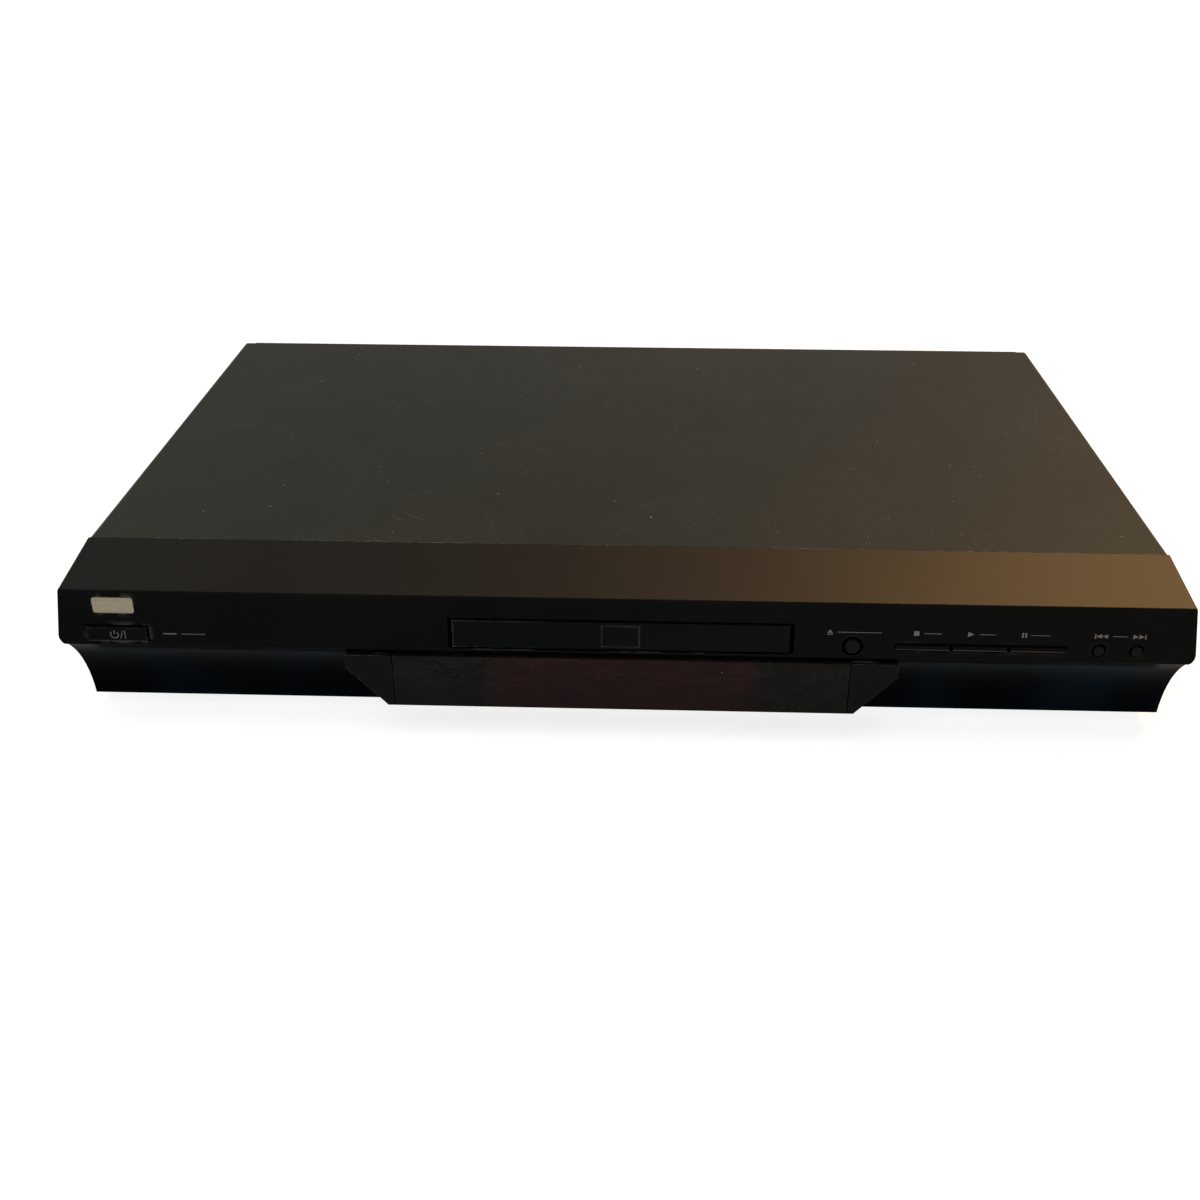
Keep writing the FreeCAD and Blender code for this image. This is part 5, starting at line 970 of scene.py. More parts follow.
@dataclass(frozen=True)
class DoorFace(Finish):
    """Black door with pale edges at its left end, partly wear and partly painted highlight, and a
    grey line round its blank middle plaque.
    """

    line_colour: Colour = (0.025, 0.026, 0.026)
    line_outer: Spot = (7.5, 4.8)
    line_width: float = 0.5
    line_edge: float = 0.05
    middle: float = 47.73
    wear_and_highlight_end: Span = (-48.0, -22.0)
    wear_and_highlight_share: Span = (1.0, 0.08)

    def rubbed(self, bench: PaintBench) -> Feed:
        """Give the mask of the pale edges, partly wear and partly painted highlight, most of them
        at the left end.

        Args:
            bench: Material in the making.

        Returns:
            The mask.
        """
        x = bench.axes(bench.place())[0]
        share = bench.spread(x, in_metres(self.wear_and_highlight_end), self.wear_and_highlight_share)
        return bench.product(super().rubbed(bench), share)

    def tone(self, bench: PaintBench, clouds: bpy.types.NodeOutputs) -> Feed:
        """Give the black with the grey line.

        Args:
            bench: Material in the making.
            clouds: Slow change of tone.

        Returns:
            The clean colour.
        """
        x, _, z = bench.axes(bench.place())
        wide, high = in_metres(self.line_outer)
        across = bench.calc("SUBTRACT", bench.away(x), wide)
        up = bench.calc("SUBTRACT", bench.away(z, self.middle * MM), high)
        past = bench.calc("MAXIMUM", across, up)
        edge = self.line_edge
        outer, inner = (
            bench.spread(past, in_metres((edge - inset, -edge - inset)))
            for inset in (0.0, self.line_width)
        )
        line = bench.calc("SUBTRACT", outer, inner)
        return bench.blend(line, super().tone(bench, clouds), self.line_colour)


@dataclass(frozen=True)
class BezelFace(Finish):
    """Black cheeks with a dark joint at each side of the window."""

    joint_place: float = 89.4
    joint_half: float = 0.3
    joint_colour: Colour = (0.0004, 0.0004, 0.0004)

    def aged(self, bench: PaintBench, colour: Feed) -> Feed:
        """Age the cheeks and keep the joints dark.

        Args:
            bench: Material in the making.
            colour: The clean colour.

        Returns:
            The colour with all that lies on it.
        """
        across = bench.away(bench.axes(bench.place())[0])
        joint = bench.within(across, self.joint_half * MM, self.joint_place * MM)
        return bench.blend(joint, super().aged(bench, colour), self.joint_colour)


@dataclass(frozen=True)
class KeyFace(FacePiece):
    """Glossy black key with a painted highlight along its lower edge, and a rim that may be painted
    black as shade.
    """

    lower_highlight_turn: Span = (-0.3, -0.7)
    lower_highlight_share: float = 0.75
    rim_shade_turn: Span = (0.93, 0.80)
    rim_shade_share: float = 0.0

    def tone(self, bench: PaintBench, clouds: bpy.types.NodeOutputs) -> Feed:
        """Give the black with its rim painted as shade and its lower edge painted as a highlight.

        Args:
            bench: Material in the making.
            clouds: Slow change of tone.

        Returns:
            The clean colour.
        """
        body = super().tone(bench, clouds)
        # painted shade: the rim that turns away from the front goes black
        if self.rim_shade_share:
            forward = bench.away(bench.axes(bench.normal())[1])
            rim_shade = bench.spread(forward, self.rim_shade_turn, (0.0, self.rim_shade_share))
            body = bench.blend(rim_shade, body, self.gap_shade_colour)
        # painted highlight: pale where the key's edge faces down
        edge = bench.upward(self.lower_highlight_turn, (0.0, self.lower_highlight_share))
        return bench.blend(edge, body, self.wear_and_highlight_colour)


@dataclass(frozen=True)
class DisplayWindow(Finish):
    """Dark window with a redder filter in its middle, both under a film that fades downwards."""

    filter_colour: Colour = (0.0075, 0.0028, 0.0032)
    filter_tint: Colour = (0.0165, 0.0066, 0.0070)
    filter_half: float = 52.0
    filter_edge: float = 4.0
    fade: Span = (17.0, 35.0)
    fade_share: float = 0.42
    coarse_stretch: Place = (70.0, 70.0, 260.0)
    coarse_detail: float = 4.0
    fine_stretch: Place = (420.0, 420.0, 900.0)
    fine_detail: float = 3.0
    fine_share: float = 0.55
    film_span: Span = (0.38, 0.62)

    def tone(self, bench: PaintBench, clouds: bpy.types.NodeOutputs) -> Feed:
        """Give the dark glass with the filter in its middle.

        Args:
            bench: Material in the making.
            clouds: Slow change of tone, which the film takes the place of.

        Returns:
            The clean colour.
        """
        x, _, z = bench.axes(bench.place())
        start, end = self.filter_half + self.filter_edge, self.filter_half - self.filter_edge
        middle = bench.spread(bench.away(x), in_metres((start, end)))
        coarse = bench.noise(bench.stretched(self.coarse_stretch), 1.0, self.coarse_detail)
        fine = bench.noise(bench.stretched(self.fine_stretch), 1.0, self.fine_detail)
        wiped = bench.spread(bench.weigh(coarse, fine, self.fine_share), self.film_span)
        rise = bench.spread(z, in_metres(self.fade), (self.fade_share, 1.0))
        film = bench.product(wiped, rise)
        glass = bench.blend(film, self.colour, self.tint)
        red = bench.blend(film, self.filter_colour, self.filter_tint)
        return bench.blend(middle, glass, red)


@dataclass(frozen=True)
class CircuitBoard(Finish):
    """Board laminate with traces under its mask and bare pads."""

    trace: Colour = (0.07, 0.30, 0.10)
    trace_share: float = 0.7
    trace_scale: float = 420.0
    trace_width: float = 0.05
    trace_length: float = 1.9
    trace_row: float = 0.55
    trace_shift: float = 0.37
    trace_repeat: int = 3
    pad: Colour = (0.60, 0.55, 0.42)
    pad_scale: float = 240.0
    pad_edge: Span = (0.17, 0.13)

    def tone(self, bench: PaintBench, clouds: bpy.types.NodeOutputs) -> Feed:
        """Give the mask's colour with traces and pads.

        Args:
            bench: Material in the making.
            clouds: Slow change of tone.

        Returns:
            The clean colour.
        """
        traces = bench.add(
            "TexBrick", offset=self.trace_shift, offset_frequency=self.trace_repeat
        )
        bench.feed(traces.inputs["Vector"], bench.place())
        bench.feed(traces.inputs["Scale"], self.trace_scale)
        bench.feed(traces.inputs["Mortar Size"], self.trace_width)
        bench.feed(traces.inputs["Brick Width"], self.trace_length)
        bench.feed(traces.inputs["Row Height"], self.trace_row)
        share = bench.product(traces.outputs["Fac"], self.trace_share)
        traced = bench.blend(share, super().tone(bench, clouds), self.trace)
        distance = bench.cells(bench.place(), self.pad_scale)[0]
        return bench.blend(bench.spread(distance, self.pad_edge), traced, self.pad)


@dataclass(frozen=True)
class Striped(Finish):
    """Flat cable, bundled wires or wound tape, as slanted stripes along X and Y."""

    stripe: Colour = (0.5, 0.5, 0.5)
    pitch: float = 1.0
    share: float = 0.35

    def tone(self, bench: PaintBench, clouds: bpy.types.NodeOutputs) -> Feed:
        """Give the colour with its stripes.

        Args:
            bench: Material in the making.
            clouds: Slow change of tone.

        Returns:
            The clean colour.
        """
        x, y, _ = bench.axes(bench.place())
        turns = bench.product(bench.calc("ADD", x, y), 1.0 / (self.pitch * MM))
        striped = bench.calc("LESS_THAN", bench.calc("FRACT", turns), self.share)
        return bench.blend(striped, super().tone(bench, clouds), self.stripe)


@dataclass(frozen=True)
class ClearPiece(Finish):
    """Clear or tinted glass."""

    transmission: float = 0.85
    ior: float = 1.5

    def plain_values(self, bench: PaintBench, surface: bpy.types.Node) -> None:
        """Write the plain values with those of glass.

        Args:
            bench: Material in the making.
            surface: The material's shader.
        """
        super().plain_values(bench, surface)
        surface.inputs["Transmission Weight"].default_value = self.transmission
        surface.inputs["IOR"].default_value = self.ior


FINISHES: tuple[Finish, ...] = (
    # what shows from the front
    Finish(
        "cover_paint", (0.0112, 0.0136, 0.0108), (0.0136, 0.0156, 0.0120), roughness=0.46,
        rough_span=0.04, specular=0.08, grain=1300.0, grain_depth=0.012, cloud=7.0, speckle=0.22,
        dust=0.3, scratches=0.15, wear=0.8, wear_reach=0.6, wipes=0.018,
        wear_and_highlight_colour=(0.20, 0.19, 0.17),
    ),
    # front moulding: the cove's blue is a painted reflection, and the gaps behind the face are
    # painted shade
    FrontMoulding(
        "front_plastic", (0.0031, 0.0037, 0.0039), (0.0042, 0.0049, 0.0050), roughness=0.36,
        specular=0.004, grain=2600.0, grain_depth=0.008, dust=0.16, wear=0.3, corner_dust=0.2,
        corner_reach=2.6, wipes=0.006,
    ),
    # cheeks: pale edges, partly wear and partly painted highlight
    BezelFace(
        "bezel_plastic", (0.0026, 0.0034, 0.0033), (0.0040, 0.0050, 0.0048), roughness=0.28,
        specular=0.03, grain=2600.0, grain_depth=0.006, speckle=0.06, dust=0.2, wear=0.85,
        corner_dust=0.2, wear_and_highlight_colour=(0.16, 0.16, 0.15),
    ),
    DisplayWindow(
        "tinted_window", (0.0018, 0.0022, 0.0018), (0.0070, 0.0075, 0.0062), roughness=0.16,
        specular=0.05, grain=900.0, grain_depth=0.002, cloud=40.0, speckle=0.1, dust=0.2,
    ),
    # door: pale edges, most at the left end, partly wear and partly painted highlight
    DoorFace(
        "door_plastic", (0.0018, 0.0026, 0.0029), (0.0030, 0.0041, 0.0044), roughness=0.40,
        specular=0.02, grain=2600.0, grain_depth=0.010, dust=0.05, wear=2.4, wear_reach=0.6,
        wear_and_highlight_colour=(0.14, 0.14, 0.135),
    ),
    # keys: the pale lower edges are a painted highlight, and the rubbed edges are partly wear and
    # partly painted highlight
    KeyFace(
        "key_plastic", (0.0018, 0.0022, 0.0022), (0.0030, 0.0035, 0.0035), roughness=0.18,
        specular=0.018, grain=2600.0, grain_depth=0.004, dust=0.1, wear=0.55, wear_reach=1.0,
        wear_and_highlight_colour=(0.10, 0.10, 0.096),
    ),
    Metal(
        "badge_metal", (0.17, 0.155, 0.115), (0.27, 0.25, 0.19), roughness=0.36, metallic=0.75,
        grain_depth=0.004, spangle=6000.0,
    ),
    Finish(
        "lamp_plastic", (0.060, 0.054, 0.050), (0.090, 0.080, 0.075), roughness=0.25, specular=0.3,
        cloud=300.0,
    ),
    # the rest of the cabinet
    Finish(
        "rear_paint", (0.0100, 0.0100, 0.0100), (0.0140, 0.0138, 0.0130), roughness=0.55,
        specular=0.25, grain=1400.0, grain_depth=0.02, dust=0.10, wear=0.35,
    ),
    Metal("zinc_steel", (0.42, 0.43, 0.43), (0.60, 0.60, 0.58), roughness=0.42, grain_depth=0.004),
    Metal(
        "zinc_screw", (0.50, 0.50, 0.47), (0.66, 0.65, 0.60), roughness=0.36, grain_depth=0.003,
        spangle=900.0,
    ),
    Metal(
        "black_screw", (0.045, 0.045, 0.046), (0.075, 0.073, 0.070), roughness=0.42, metallic=0.6,
        grain_depth=0.003, spangle=900.0, wear=0.6, wear_and_highlight_colour=(0.35, 0.34, 0.32),
    ),
    Finish(
        "foot_plastic", (0.0110, 0.0110, 0.0108), (0.0160, 0.0156, 0.0146), roughness=0.6,
        specular=0.25, grain=1500.0, grain_depth=0.03, wear=0.3,
    ),
    # the disc drive
    Finish(
        "tray_plastic", (0.0090, 0.0094, 0.0096), (0.0130, 0.0134, 0.0134), roughness=0.55,
        specular=0.07, grain=1900.0, grain_depth=0.02, scratches=0.25, dust=0.05, wear=0.25,
    ),
    Finish(
        "loader_plastic", (0.0180, 0.0180, 0.0186), (0.0250, 0.0246, 0.0240), roughness=0.55,
        specular=0.3, grain=1700.0, grain_depth=0.02, wear=0.2,
    ),
    Finish(
        "gear_plastic", (0.62, 0.61, 0.56), (0.72, 0.70, 0.62), roughness=0.42, specular=0.4,
        cloud=60.0, grain_depth=0.006, wear=0.3, wear_and_highlight_colour=(0.48, 0.45, 0.38),
    ),
    Finish(
        "belt_rubber", (0.010, 0.010, 0.010), (0.018, 0.017, 0.016), roughness=0.75, specular=0.25,
        cloud=200.0, grain_depth=0.02,
    ),
    Metal("motor_steel", (0.48, 0.48, 0.48), (0.64, 0.63, 0.61), roughness=0.34, grain_depth=0.004),
    Metal(
        "pickup_metal", (0.34, 0.34, 0.35), (0.46, 0.46, 0.46), roughness=0.5, grain_depth=0.01,
        spangle=500.0,
    ),
    ClearPiece(
        "lens_glass", (0.55, 0.62, 0.90), (0.72, 0.74, 0.94), roughness=0.06, specular=0.5,
        cloud=400.0, grain_depth=0.001,
    ),
    Metal(
        "polished_rod", (0.66, 0.66, 0.65), (0.78, 0.77, 0.75), roughness=0.16, grain_depth=0.001
    ),
    # boards and what is on them
    CircuitBoard(
        "circuit_board", (0.018, 0.12, 0.035), (0.026, 0.15, 0.05), roughness=0.38, specular=0.4,
        grain_depth=0.01,
    ),
    CircuitBoard(
        "power_board_laminate", (0.36, 0.21, 0.075), (0.44, 0.27, 0.10), roughness=0.5,
        specular=0.3, trace=(0.28, 0.16, 0.05), pad=(0.62, 0.60, 0.55), grain_depth=0.01,
    ),
    Finish(
        "chip_plastic", (0.016, 0.016, 0.017), (0.026, 0.026, 0.027), roughness=0.55, specular=0.3,
        cloud=90.0, grain_depth=0.012,
    ),
    Finish(
        "can_sleeve", (0.020, 0.026, 0.075), (0.030, 0.038, 0.10), roughness=0.25, specular=0.45,
        cloud=70.0,
    ),
    Striped(
        "transformer_wrap", (0.56, 0.42, 0.07), (0.66, 0.50, 0.10), roughness=0.42, specular=0.4,
        stripe=(0.05, 0.05, 0.05), pitch=17.0, share=0.3,
    ),
    Metal(
        "sink_aluminium", (0.52, 0.53, 0.54), (0.66, 0.66, 0.66), roughness=0.4, grain_depth=0.006
    ),
    Finish(
        "connector_plastic", (0.66, 0.63, 0.54), (0.74, 0.71, 0.62), roughness=0.45, specular=0.4,
        cloud=90.0,
    ),
    Striped(
        "ribbon_plastic", (0.68, 0.68, 0.66), (0.75, 0.74, 0.71), roughness=0.4, specular=0.4,
        stripe=(0.52, 0.52, 0.50), pitch=1.0,
    ),
    Striped(
        "harness_plastic", (0.30, 0.045, 0.03), (0.38, 0.06, 0.04), roughness=0.45, specular=0.4,
        stripe=(0.02, 0.02, 0.02), pitch=1.8, share=0.5,
    ),
    Finish(
        "display_glass", (0.055, 0.065, 0.066), (0.075, 0.085, 0.085), roughness=0.12,
        specular=0.5, cloud=50.0, grain_depth=0.001,
    ),
    Finish(
        "switch_plastic", (0.022, 0.022, 0.023), (0.032, 0.032, 0.032), roughness=0.5,
        specular=0.3, cloud=120.0,
    ),
    # the sockets at the back
    Finish(
        "socket_plastic", (0.0110, 0.0110, 0.0110), (0.0170, 0.0168, 0.0160), roughness=0.48,
        specular=0.3, grain_depth=0.012, wear=0.3,
    ),
    Metal(
        "nickel_sleeve", (0.58, 0.56, 0.52), (0.72, 0.70, 0.65), roughness=0.22,
        grain_depth=0.002, spangle=700.0,
    ),
)
# round keys: the paler colour is a painted highlight on the dome, with the rim painted black as
# shade and a faint painted highlight on the lower edge
ROUND_KEY = KeyFace(
    "round_key_plastic", (0.0046, 0.0050, 0.0050), (0.0066, 0.0070, 0.0070), roughness=0.2,
    specular=0.018, grain=2600.0, grain_depth=0.004, dust=0.1, wear=0.12, lower_highlight_share=0.12,
    rim_shade_share=0.95,
)
# strip keys: a pale painted highlight along the lower edge, and a rim painted black as shade
STRIP_KEY = KeyFace(
    "strip_key_plastic", (0.0018, 0.0022, 0.0022), (0.0030, 0.0035, 0.0035), roughness=0.2,
    specular=0.018, grain=2600.0, grain_depth=0.004, dust=0.1, wear=0.2, lower_highlight_turn=(-0.25, -0.5),
    lower_highlight_share=0.55, rim_shade_share=0.9, wear_and_highlight_colour=(0.13, 0.13, 0.125),
)
NODE_FINISHES: dict[str, Finish] = {
    **dict.fromkeys(("open_close_button", "skip_back_button", "skip_next_button"), ROUND_KEY),
    **dict.fromkeys(("stop_button", "play_button", "pause_button"), STRIP_KEY),
}
PRINT_INK = Finish(
    "print_ink", (0.086, 0.086, 0.083), (0.118, 0.117, 0.112), roughness=0.5, specular=0.2,
    cloud=600.0, grain=5000.0, grain_depth=0.004,
)
# painted shade: near-black crosses stand for the shade inside the screws' cross recesses
SCREW_RECESS_SHADE = Finish(
    "screw_recess_shade", (0.004, 0.004, 0.004), (0.008, 0.008, 0.008), roughness=0.6, specular=0.1,
    cloud=900.0, grain_depth=0.004,
)


def shown_mesh(
    name: str, form: bmesh.types.BMesh, material: bpy.types.Material
) -> bpy.types.Object:
    """Turn a form into an object of the scene.

    Args:
        name: Name of the piece.
        form: The form, which is freed.
        material: Material of all its faces.

    Returns:
        The new object, at the origin.
    """
    bmesh.ops.recalc_face_normals(form, faces=form.faces)
    mesh = bpy.data.meshes.new(name)
    form.to_mesh(mesh)
    form.free()
    mesh.materials.append(material)
    piece = bpy.data.objects.new(name, mesh)
    bpy.context.scene.collection.objects.link(piece)
    log.info("made %s", name)
    return piece


def thicken(form: bmesh.types.BMesh, outline: list[bmesh.types.BMVert], depth: Vector) -> None:
    """Close a flat outline to a plate.

    Args:
        form: What the plate is added to.
        outline: Corners of one side, in order.
        depth: Way from that side to the other.
    """
    raised = bmesh.ops.extrude_face_region(form, geom=[form.faces.new(outline)])["geom"]
    moved = [part for part in raised if isinstance(part, bmesh.types.BMVert)]
    bmesh.ops.translate(form, verts=moved, vec=depth)


class Sign(Enum):
    """Plain signs of the kind found on any player."""

    POWER = "power"
    EJECT = "eject"
    STOP = "stop"
    PLAY = "play"
    PAUSE = "pause"
    BACK = "back"
    NEXT = "next"
    RULE = "rule"


@dataclass(frozen=True)
class Print:
    """Place and size of one sign on the front, in millimetres."""

    sign: Sign
    x: float
    z: float
    wide: float
    high: float


SIGN_ROW = 51.8
SKIP_ROW = 52.0
POWER_ROW = 45.7
RULE_HEIGHT = 0.24


@dataclass
class KeySigns:
    """Thin grey prints over the keys, in millimetres on the front."""

    face: float = -145.9
    power_face: float = -147.3
    ink: float = 0.03
    ring_steps: int = 24
    ring_start: float = 132.0
    ring_sweep: float = 276.0
    ring_inner: float = 0.78
    prints: tuple[Print, ...] = (
        Print(Sign.EJECT, 80.2, SIGN_ROW, 2.2, 2.3),
        Print(Sign.RULE, 91.3, SIGN_ROW, 17.0, RULE_HEIGHT),
        Print(Sign.STOP, 113.1, SIGN_ROW, 2.0, 2.0),
        Print(Sign.RULE, 119.3, SIGN_ROW, 6.6, RULE_HEIGHT),
        Print(Sign.PLAY, 133.8, SIGN_ROW, 2.5, 2.2),
        Print(Sign.RULE, 140.0, SIGN_ROW, 6.2, RULE_HEIGHT),
        Print(Sign.PAUSE, 153.9, SIGN_ROW, 2.0, 2.1),
        Print(Sign.RULE, 160.0, SIGN_ROW, 7.6, RULE_HEIGHT),
        Print(Sign.BACK, 183.0, SKIP_ROW, 5.2, 2.0),
        Print(Sign.RULE, 190.0, SKIP_ROW, 5.6, RULE_HEIGHT),
        Print(Sign.NEXT, 197.2, SKIP_ROW, 5.2, 2.0),
        Print(Sign.RULE, -166.3, POWER_ROW, 9.2, RULE_HEIGHT),
    )
    power_print: Print = Print(Sign.POWER, -196.9, POWER_ROW, 3.4, 3.4)

    def build(self, ink: bpy.types.Material) -> None:
        """Print every sign and let it ride on what carries it.

        Args:
            ink: Material of the prints.
        """
        for number, one in enumerate(self.prints):
            self._print(f"sign_{one.sign.value}_{number}", one, self.face, "cabinet", ink)
        self._print("sign_power", self.power_print, self.power_face, "power_button", ink)

    def _print(
        self, name: str, one: Print, face: float, body: str, ink: bpy.types.Material
    ) -> None:
        """Lay a sign's outlines on the front as one thin print.

        Args:
            name: Name of the piece.
            one: The sign with its place and size.
            face: Level of the surface that carries the print.
            body: Body that the print moves with.
            ink: Material of the print.
        """
        form = bmesh.new()
        for loop in self._loops(one.sign):
            spots = [(one.x + u * one.wide / 2, one.z + v * one.high / 2) for u, v in loop]
            outline = [form.verts.new((x * MM, face * MM, z * MM)) for x, z in spots]
            thicken(form, outline, Vector((0.0, -self.ink * MM, 0.0)))
        piece = shown_mesh(name, form, ink)
        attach(piece, body)

    def _loops(self, sign: Sign) -> list[list[Spot]]:
        """Give a sign's outlines in a square from -1 to 1.

        Args:
            sign: Sign that is wanted.

        Returns:
            Its closed outlines.
        """
        box = [(-1.0, -1.0), (1.0, -1.0), (1.0, 1.0), (-1.0, 1.0)]
        if sign is Sign.PLAY:
            return [[(-1.0, -1.0), (1.0, 0.0), (-1.0, 1.0)]]
        if sign is Sign.PAUSE:
            return [[(u * 0.35 + s * 0.62, v) for u, v in box] for s in (-1.0, 1.0)]
        if sign is Sign.EJECT:
            return [[(-1.0, -0.3), (1.0, -0.3), (0.0, 1.0)], [(u, v * 0.17 - 0.8) for u, v in box]]
        if sign in (Sign.BACK, Sign.NEXT):
            way = -1.0 if sign is Sign.BACK else 1.0
            arrow = ((-0.4, -0.95), (0.42, 0.0), (-0.4, 0.95))
            arrows = [[(way * (s + u), v) for u, v in arrow] for s in (-0.5, 0.36)]
            return [*arrows, [(way * 0.9 + u * 0.09, v) for u, v in box]]
        if sign is Sign.POWER:
            slash = [(1.25, -1.0), (1.42, -1.0), (2.0, 1.0), (1.83, 1.0)]
            stroke = [(u * 0.1 + 2.45, v) for u, v in box]
            return [*self._ring(), [(u * 0.11, v * 0.5 + 0.62) for u, v in box], slash, stroke]
        return [box]

    def _ring(self) -> list[list[Spot]]:
        """Give the open ring of the power sign as short plates.

        Returns:
            The outline of each plate.
        """
        step = self.ring_sweep / self.ring_steps
        turns = [math.radians(self.ring_start + step * n) for n in range(self.ring_steps + 1)]
        outer = [(math.cos(turn), math.sin(turn)) for turn in turns]
        inner = [(self.ring_inner * u, self.ring_inner * v) for u, v in outer]
        return [
            [outer[n], outer[n + 1], inner[n + 1], inner[n]] for n in range(self.ring_steps)
        ]


@dataclass
class JackInsulators:
    """Coloured insulators round the phono jacks, lathed about Y, in millimetres."""

    colours: dict[str, Colour] = field(default_factory=lambda: {
        "jack_audio_right": (0.42, 0.012, 0.012),
        "jack_audio_left": (0.62, 0.61, 0.58),
        "jack_composite_video": (0.62, 0.46, 0.010),
        "jack_component_red": (0.42, 0.012, 0.012),
        "jack_component_blue": (0.012, 0.045, 0.40),
        "jack_component_green": (0.012, 0.22, 0.045),
        "jack_coaxial_digital": (0.55, 0.16, 0.010),
    })
    inner: float = 4.45
    outer: float = 5.2
    chamfer: float = 0.35
    steps: int = 48
    lighten: float = 1.25
    lift: float = 0.01

    def build(self, mounts: list[dict[str, Any]], shelf: EffectShelf) -> None:
        """Make one ring for each jack, in place of the plain rings.

        Args:
            mounts: The record's mounts, which name each jack and its place.
            shelf: Where the shared effects come from.
        """
        low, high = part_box("jack_rings")
        for mount in mounts:
            colour = self.colours.get(mount["name"])
            if colour is None:
                continue
            light = tuple(min(1.0, self.lighten * part + self.lift) for part in colour)
            finish = Finish(
                f"insulator_{mount['name']}", colour, light, roughness=0.3, specular=0.4,
                cloud=150.0, grain_depth=0.006,
            )
            name = mount["name"].replace("jack_", "insulator_")
            ring = self._ring(name, mount["pos_m"], (low.y, high.y), finish.build(shelf))
            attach(ring, "cabinet")
            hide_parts("jack_rings")

    def _ring(
        self, name: str, heart: list[float], ends: Span, material: bpy.types.Material
    ) -> bpy.types.Object:
        """Lathe one ring.

        Args:
            name: Name of the piece.
            heart: A point on the jack's axis, in metres.
            ends: Levels of the inner and the outer end along Y, in metres.
            material: Material of the ring.

        Returns:
            The ring.
        """
        start, end = ends
        cut = self.chamfer * MM
        inner, outer = self.inner * MM, self.outer * MM
        profile = (
            (inner, start), (outer, start), (outer, end - cut), (outer - cut, end),
            (inner + cut / 2, end), (inner, end - cut / 2),
        )
        form = bmesh.new()
        loops = []
        for n in range(self.steps):
            turn = 2.0 * math.pi * n / self.steps
            x, z = math.cos(turn), math.sin(turn)
            loops.append(
                [form.verts.new((heart[0] + r * x, y, heart[2] + r * z)) for r, y in profile]
            )
        for here, there in zip(loops, loops[1:] + loops[:1]):
            for n in range(len(profile)):
                m = (n + 1) % len(profile)
                form.faces.new((here[n], here[m], there[m], there[n]))
        return shown_mesh(name, form, material)


@dataclass
class ScrewRecessShades:
    """Dark crosses on the heads of the cover's screws, painted as the shade of cross recesses, in
    millimetres.
    """

    node: str = "cover_screws"
    arm_share: float = 0.58
    arm_width: float = 0.75
    proud: float = 0.02
    depth: float = 0.3

    def build(self, nodes: dict[str, bpy.types.Object], ink: bpy.types.Material) -> None:
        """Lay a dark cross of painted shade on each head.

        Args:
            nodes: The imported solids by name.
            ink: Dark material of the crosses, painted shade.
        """
        form = bmesh.new()
        for low, high in self._screws(nodes[self.node]):
            size = high - low
            axis = max(range(2), key=lambda n: abs(size[n] - size[2]))
            outward = 1.0 if low[axis] + high[axis] > 0.0 else -1.0
            face = (high if outward > 0.0 else low)[axis] + outward * self.proud * MM
            heart = (low + high) / 2
            heart[axis] = face
            inward = Vector((0.0, 0.0, 0.0))
            inward[axis] = -outward * self.depth * MM
            self._cross(form, heart, 1 - axis, self.arm_share * size[2] / 2, inward)
        piece = shown_mesh("screw_recess_shades", form, ink)
        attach(piece, "cabinet")

    def _cross(
        self, form: bmesh.types.BMesh, heart: Vector, across: int, reach: float, inward: Vector
    ) -> None:
        """Add one cross.

        Args:
            form: What the cross is added to.
            heart: Middle of the cross.
            across: Axis that lies flat in the head's face, 0 for X and 1 for Y.
            reach: Length of each arm.
            inward: Way into the head.
        """
        half = self.arm_width * MM / 2
        spots = (
            (-half, -reach), (half, -reach), (half, -half), (reach, -half),
            (reach, half), (half, half), (half, reach), (-half, reach),
            (-half, half), (-reach, half), (-reach, -half), (-half, -half),
        )
        outline = []
        for u, v in spots:
            place = heart.copy()
            place[across] += u
            place.z += v
            outline.append(form.verts.new(place))
        thicken(form, outline, inward)

    @staticmethod
    def _screws(solid: bpy.types.Object) -> list[tuple[Vector, Vector]]:
        """Find the separate screws of a node.

        Args:
            solid: The node that holds all the screws.

        Returns:
            The low and the high corner of each screw.
        """
        form = bmesh.new()
        form.from_mesh(solid.data)
        bmesh.ops.remove_doubles(form, verts=form.verts, dist=WELD)
        left = set(form.verts)
        boxes = []
        while left:
            group, edge = set(), [left.pop()]
            while edge:
                vert = edge.pop()
                group.add(vert)
                fresh = [e.other_vert(vert) for e in vert.link_edges]
                edge.extend(v for v in fresh if v in left)
                left.difference_update(fresh)
            spans = [(min(v.co[n] for v in group), max(v.co[n] for v in group)) for n in range(3)]
            boxes.append((Vector([s[0] for s in spans]), Vector([s[1] for s in spans])))
        form.free()
        return boxes


@dataclass
class Cabinet:
    """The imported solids, dressed by the record's material slots."""

    materials: dict[str, bpy.types.Material] = field(default_factory=dict)

    def dress(self, frame: dict[str, Any], shelf: EffectShelf) -> None:
        """Give each solid the finish of its slot.

        Args:
            shelf: Where the shared effects come from.
        """
        for finish in (*FINISHES, ROUND_KEY, STRIP_KEY):
            self.materials[finish.slot] = finish.build(shelf)
        for part in frame["record"]["subparts"]:
            solid = frame["nodes"][part["node"]]
            own = NODE_FINISHES.get(part["node"])
            material = self.materials.get(own.slot if own else part["material_slot"])
            if material is None:
                continue
            solid.data.materials.clear()
            solid.data.materials.append(material)
            log.info("solid %s takes %s", part["node"], material.name)


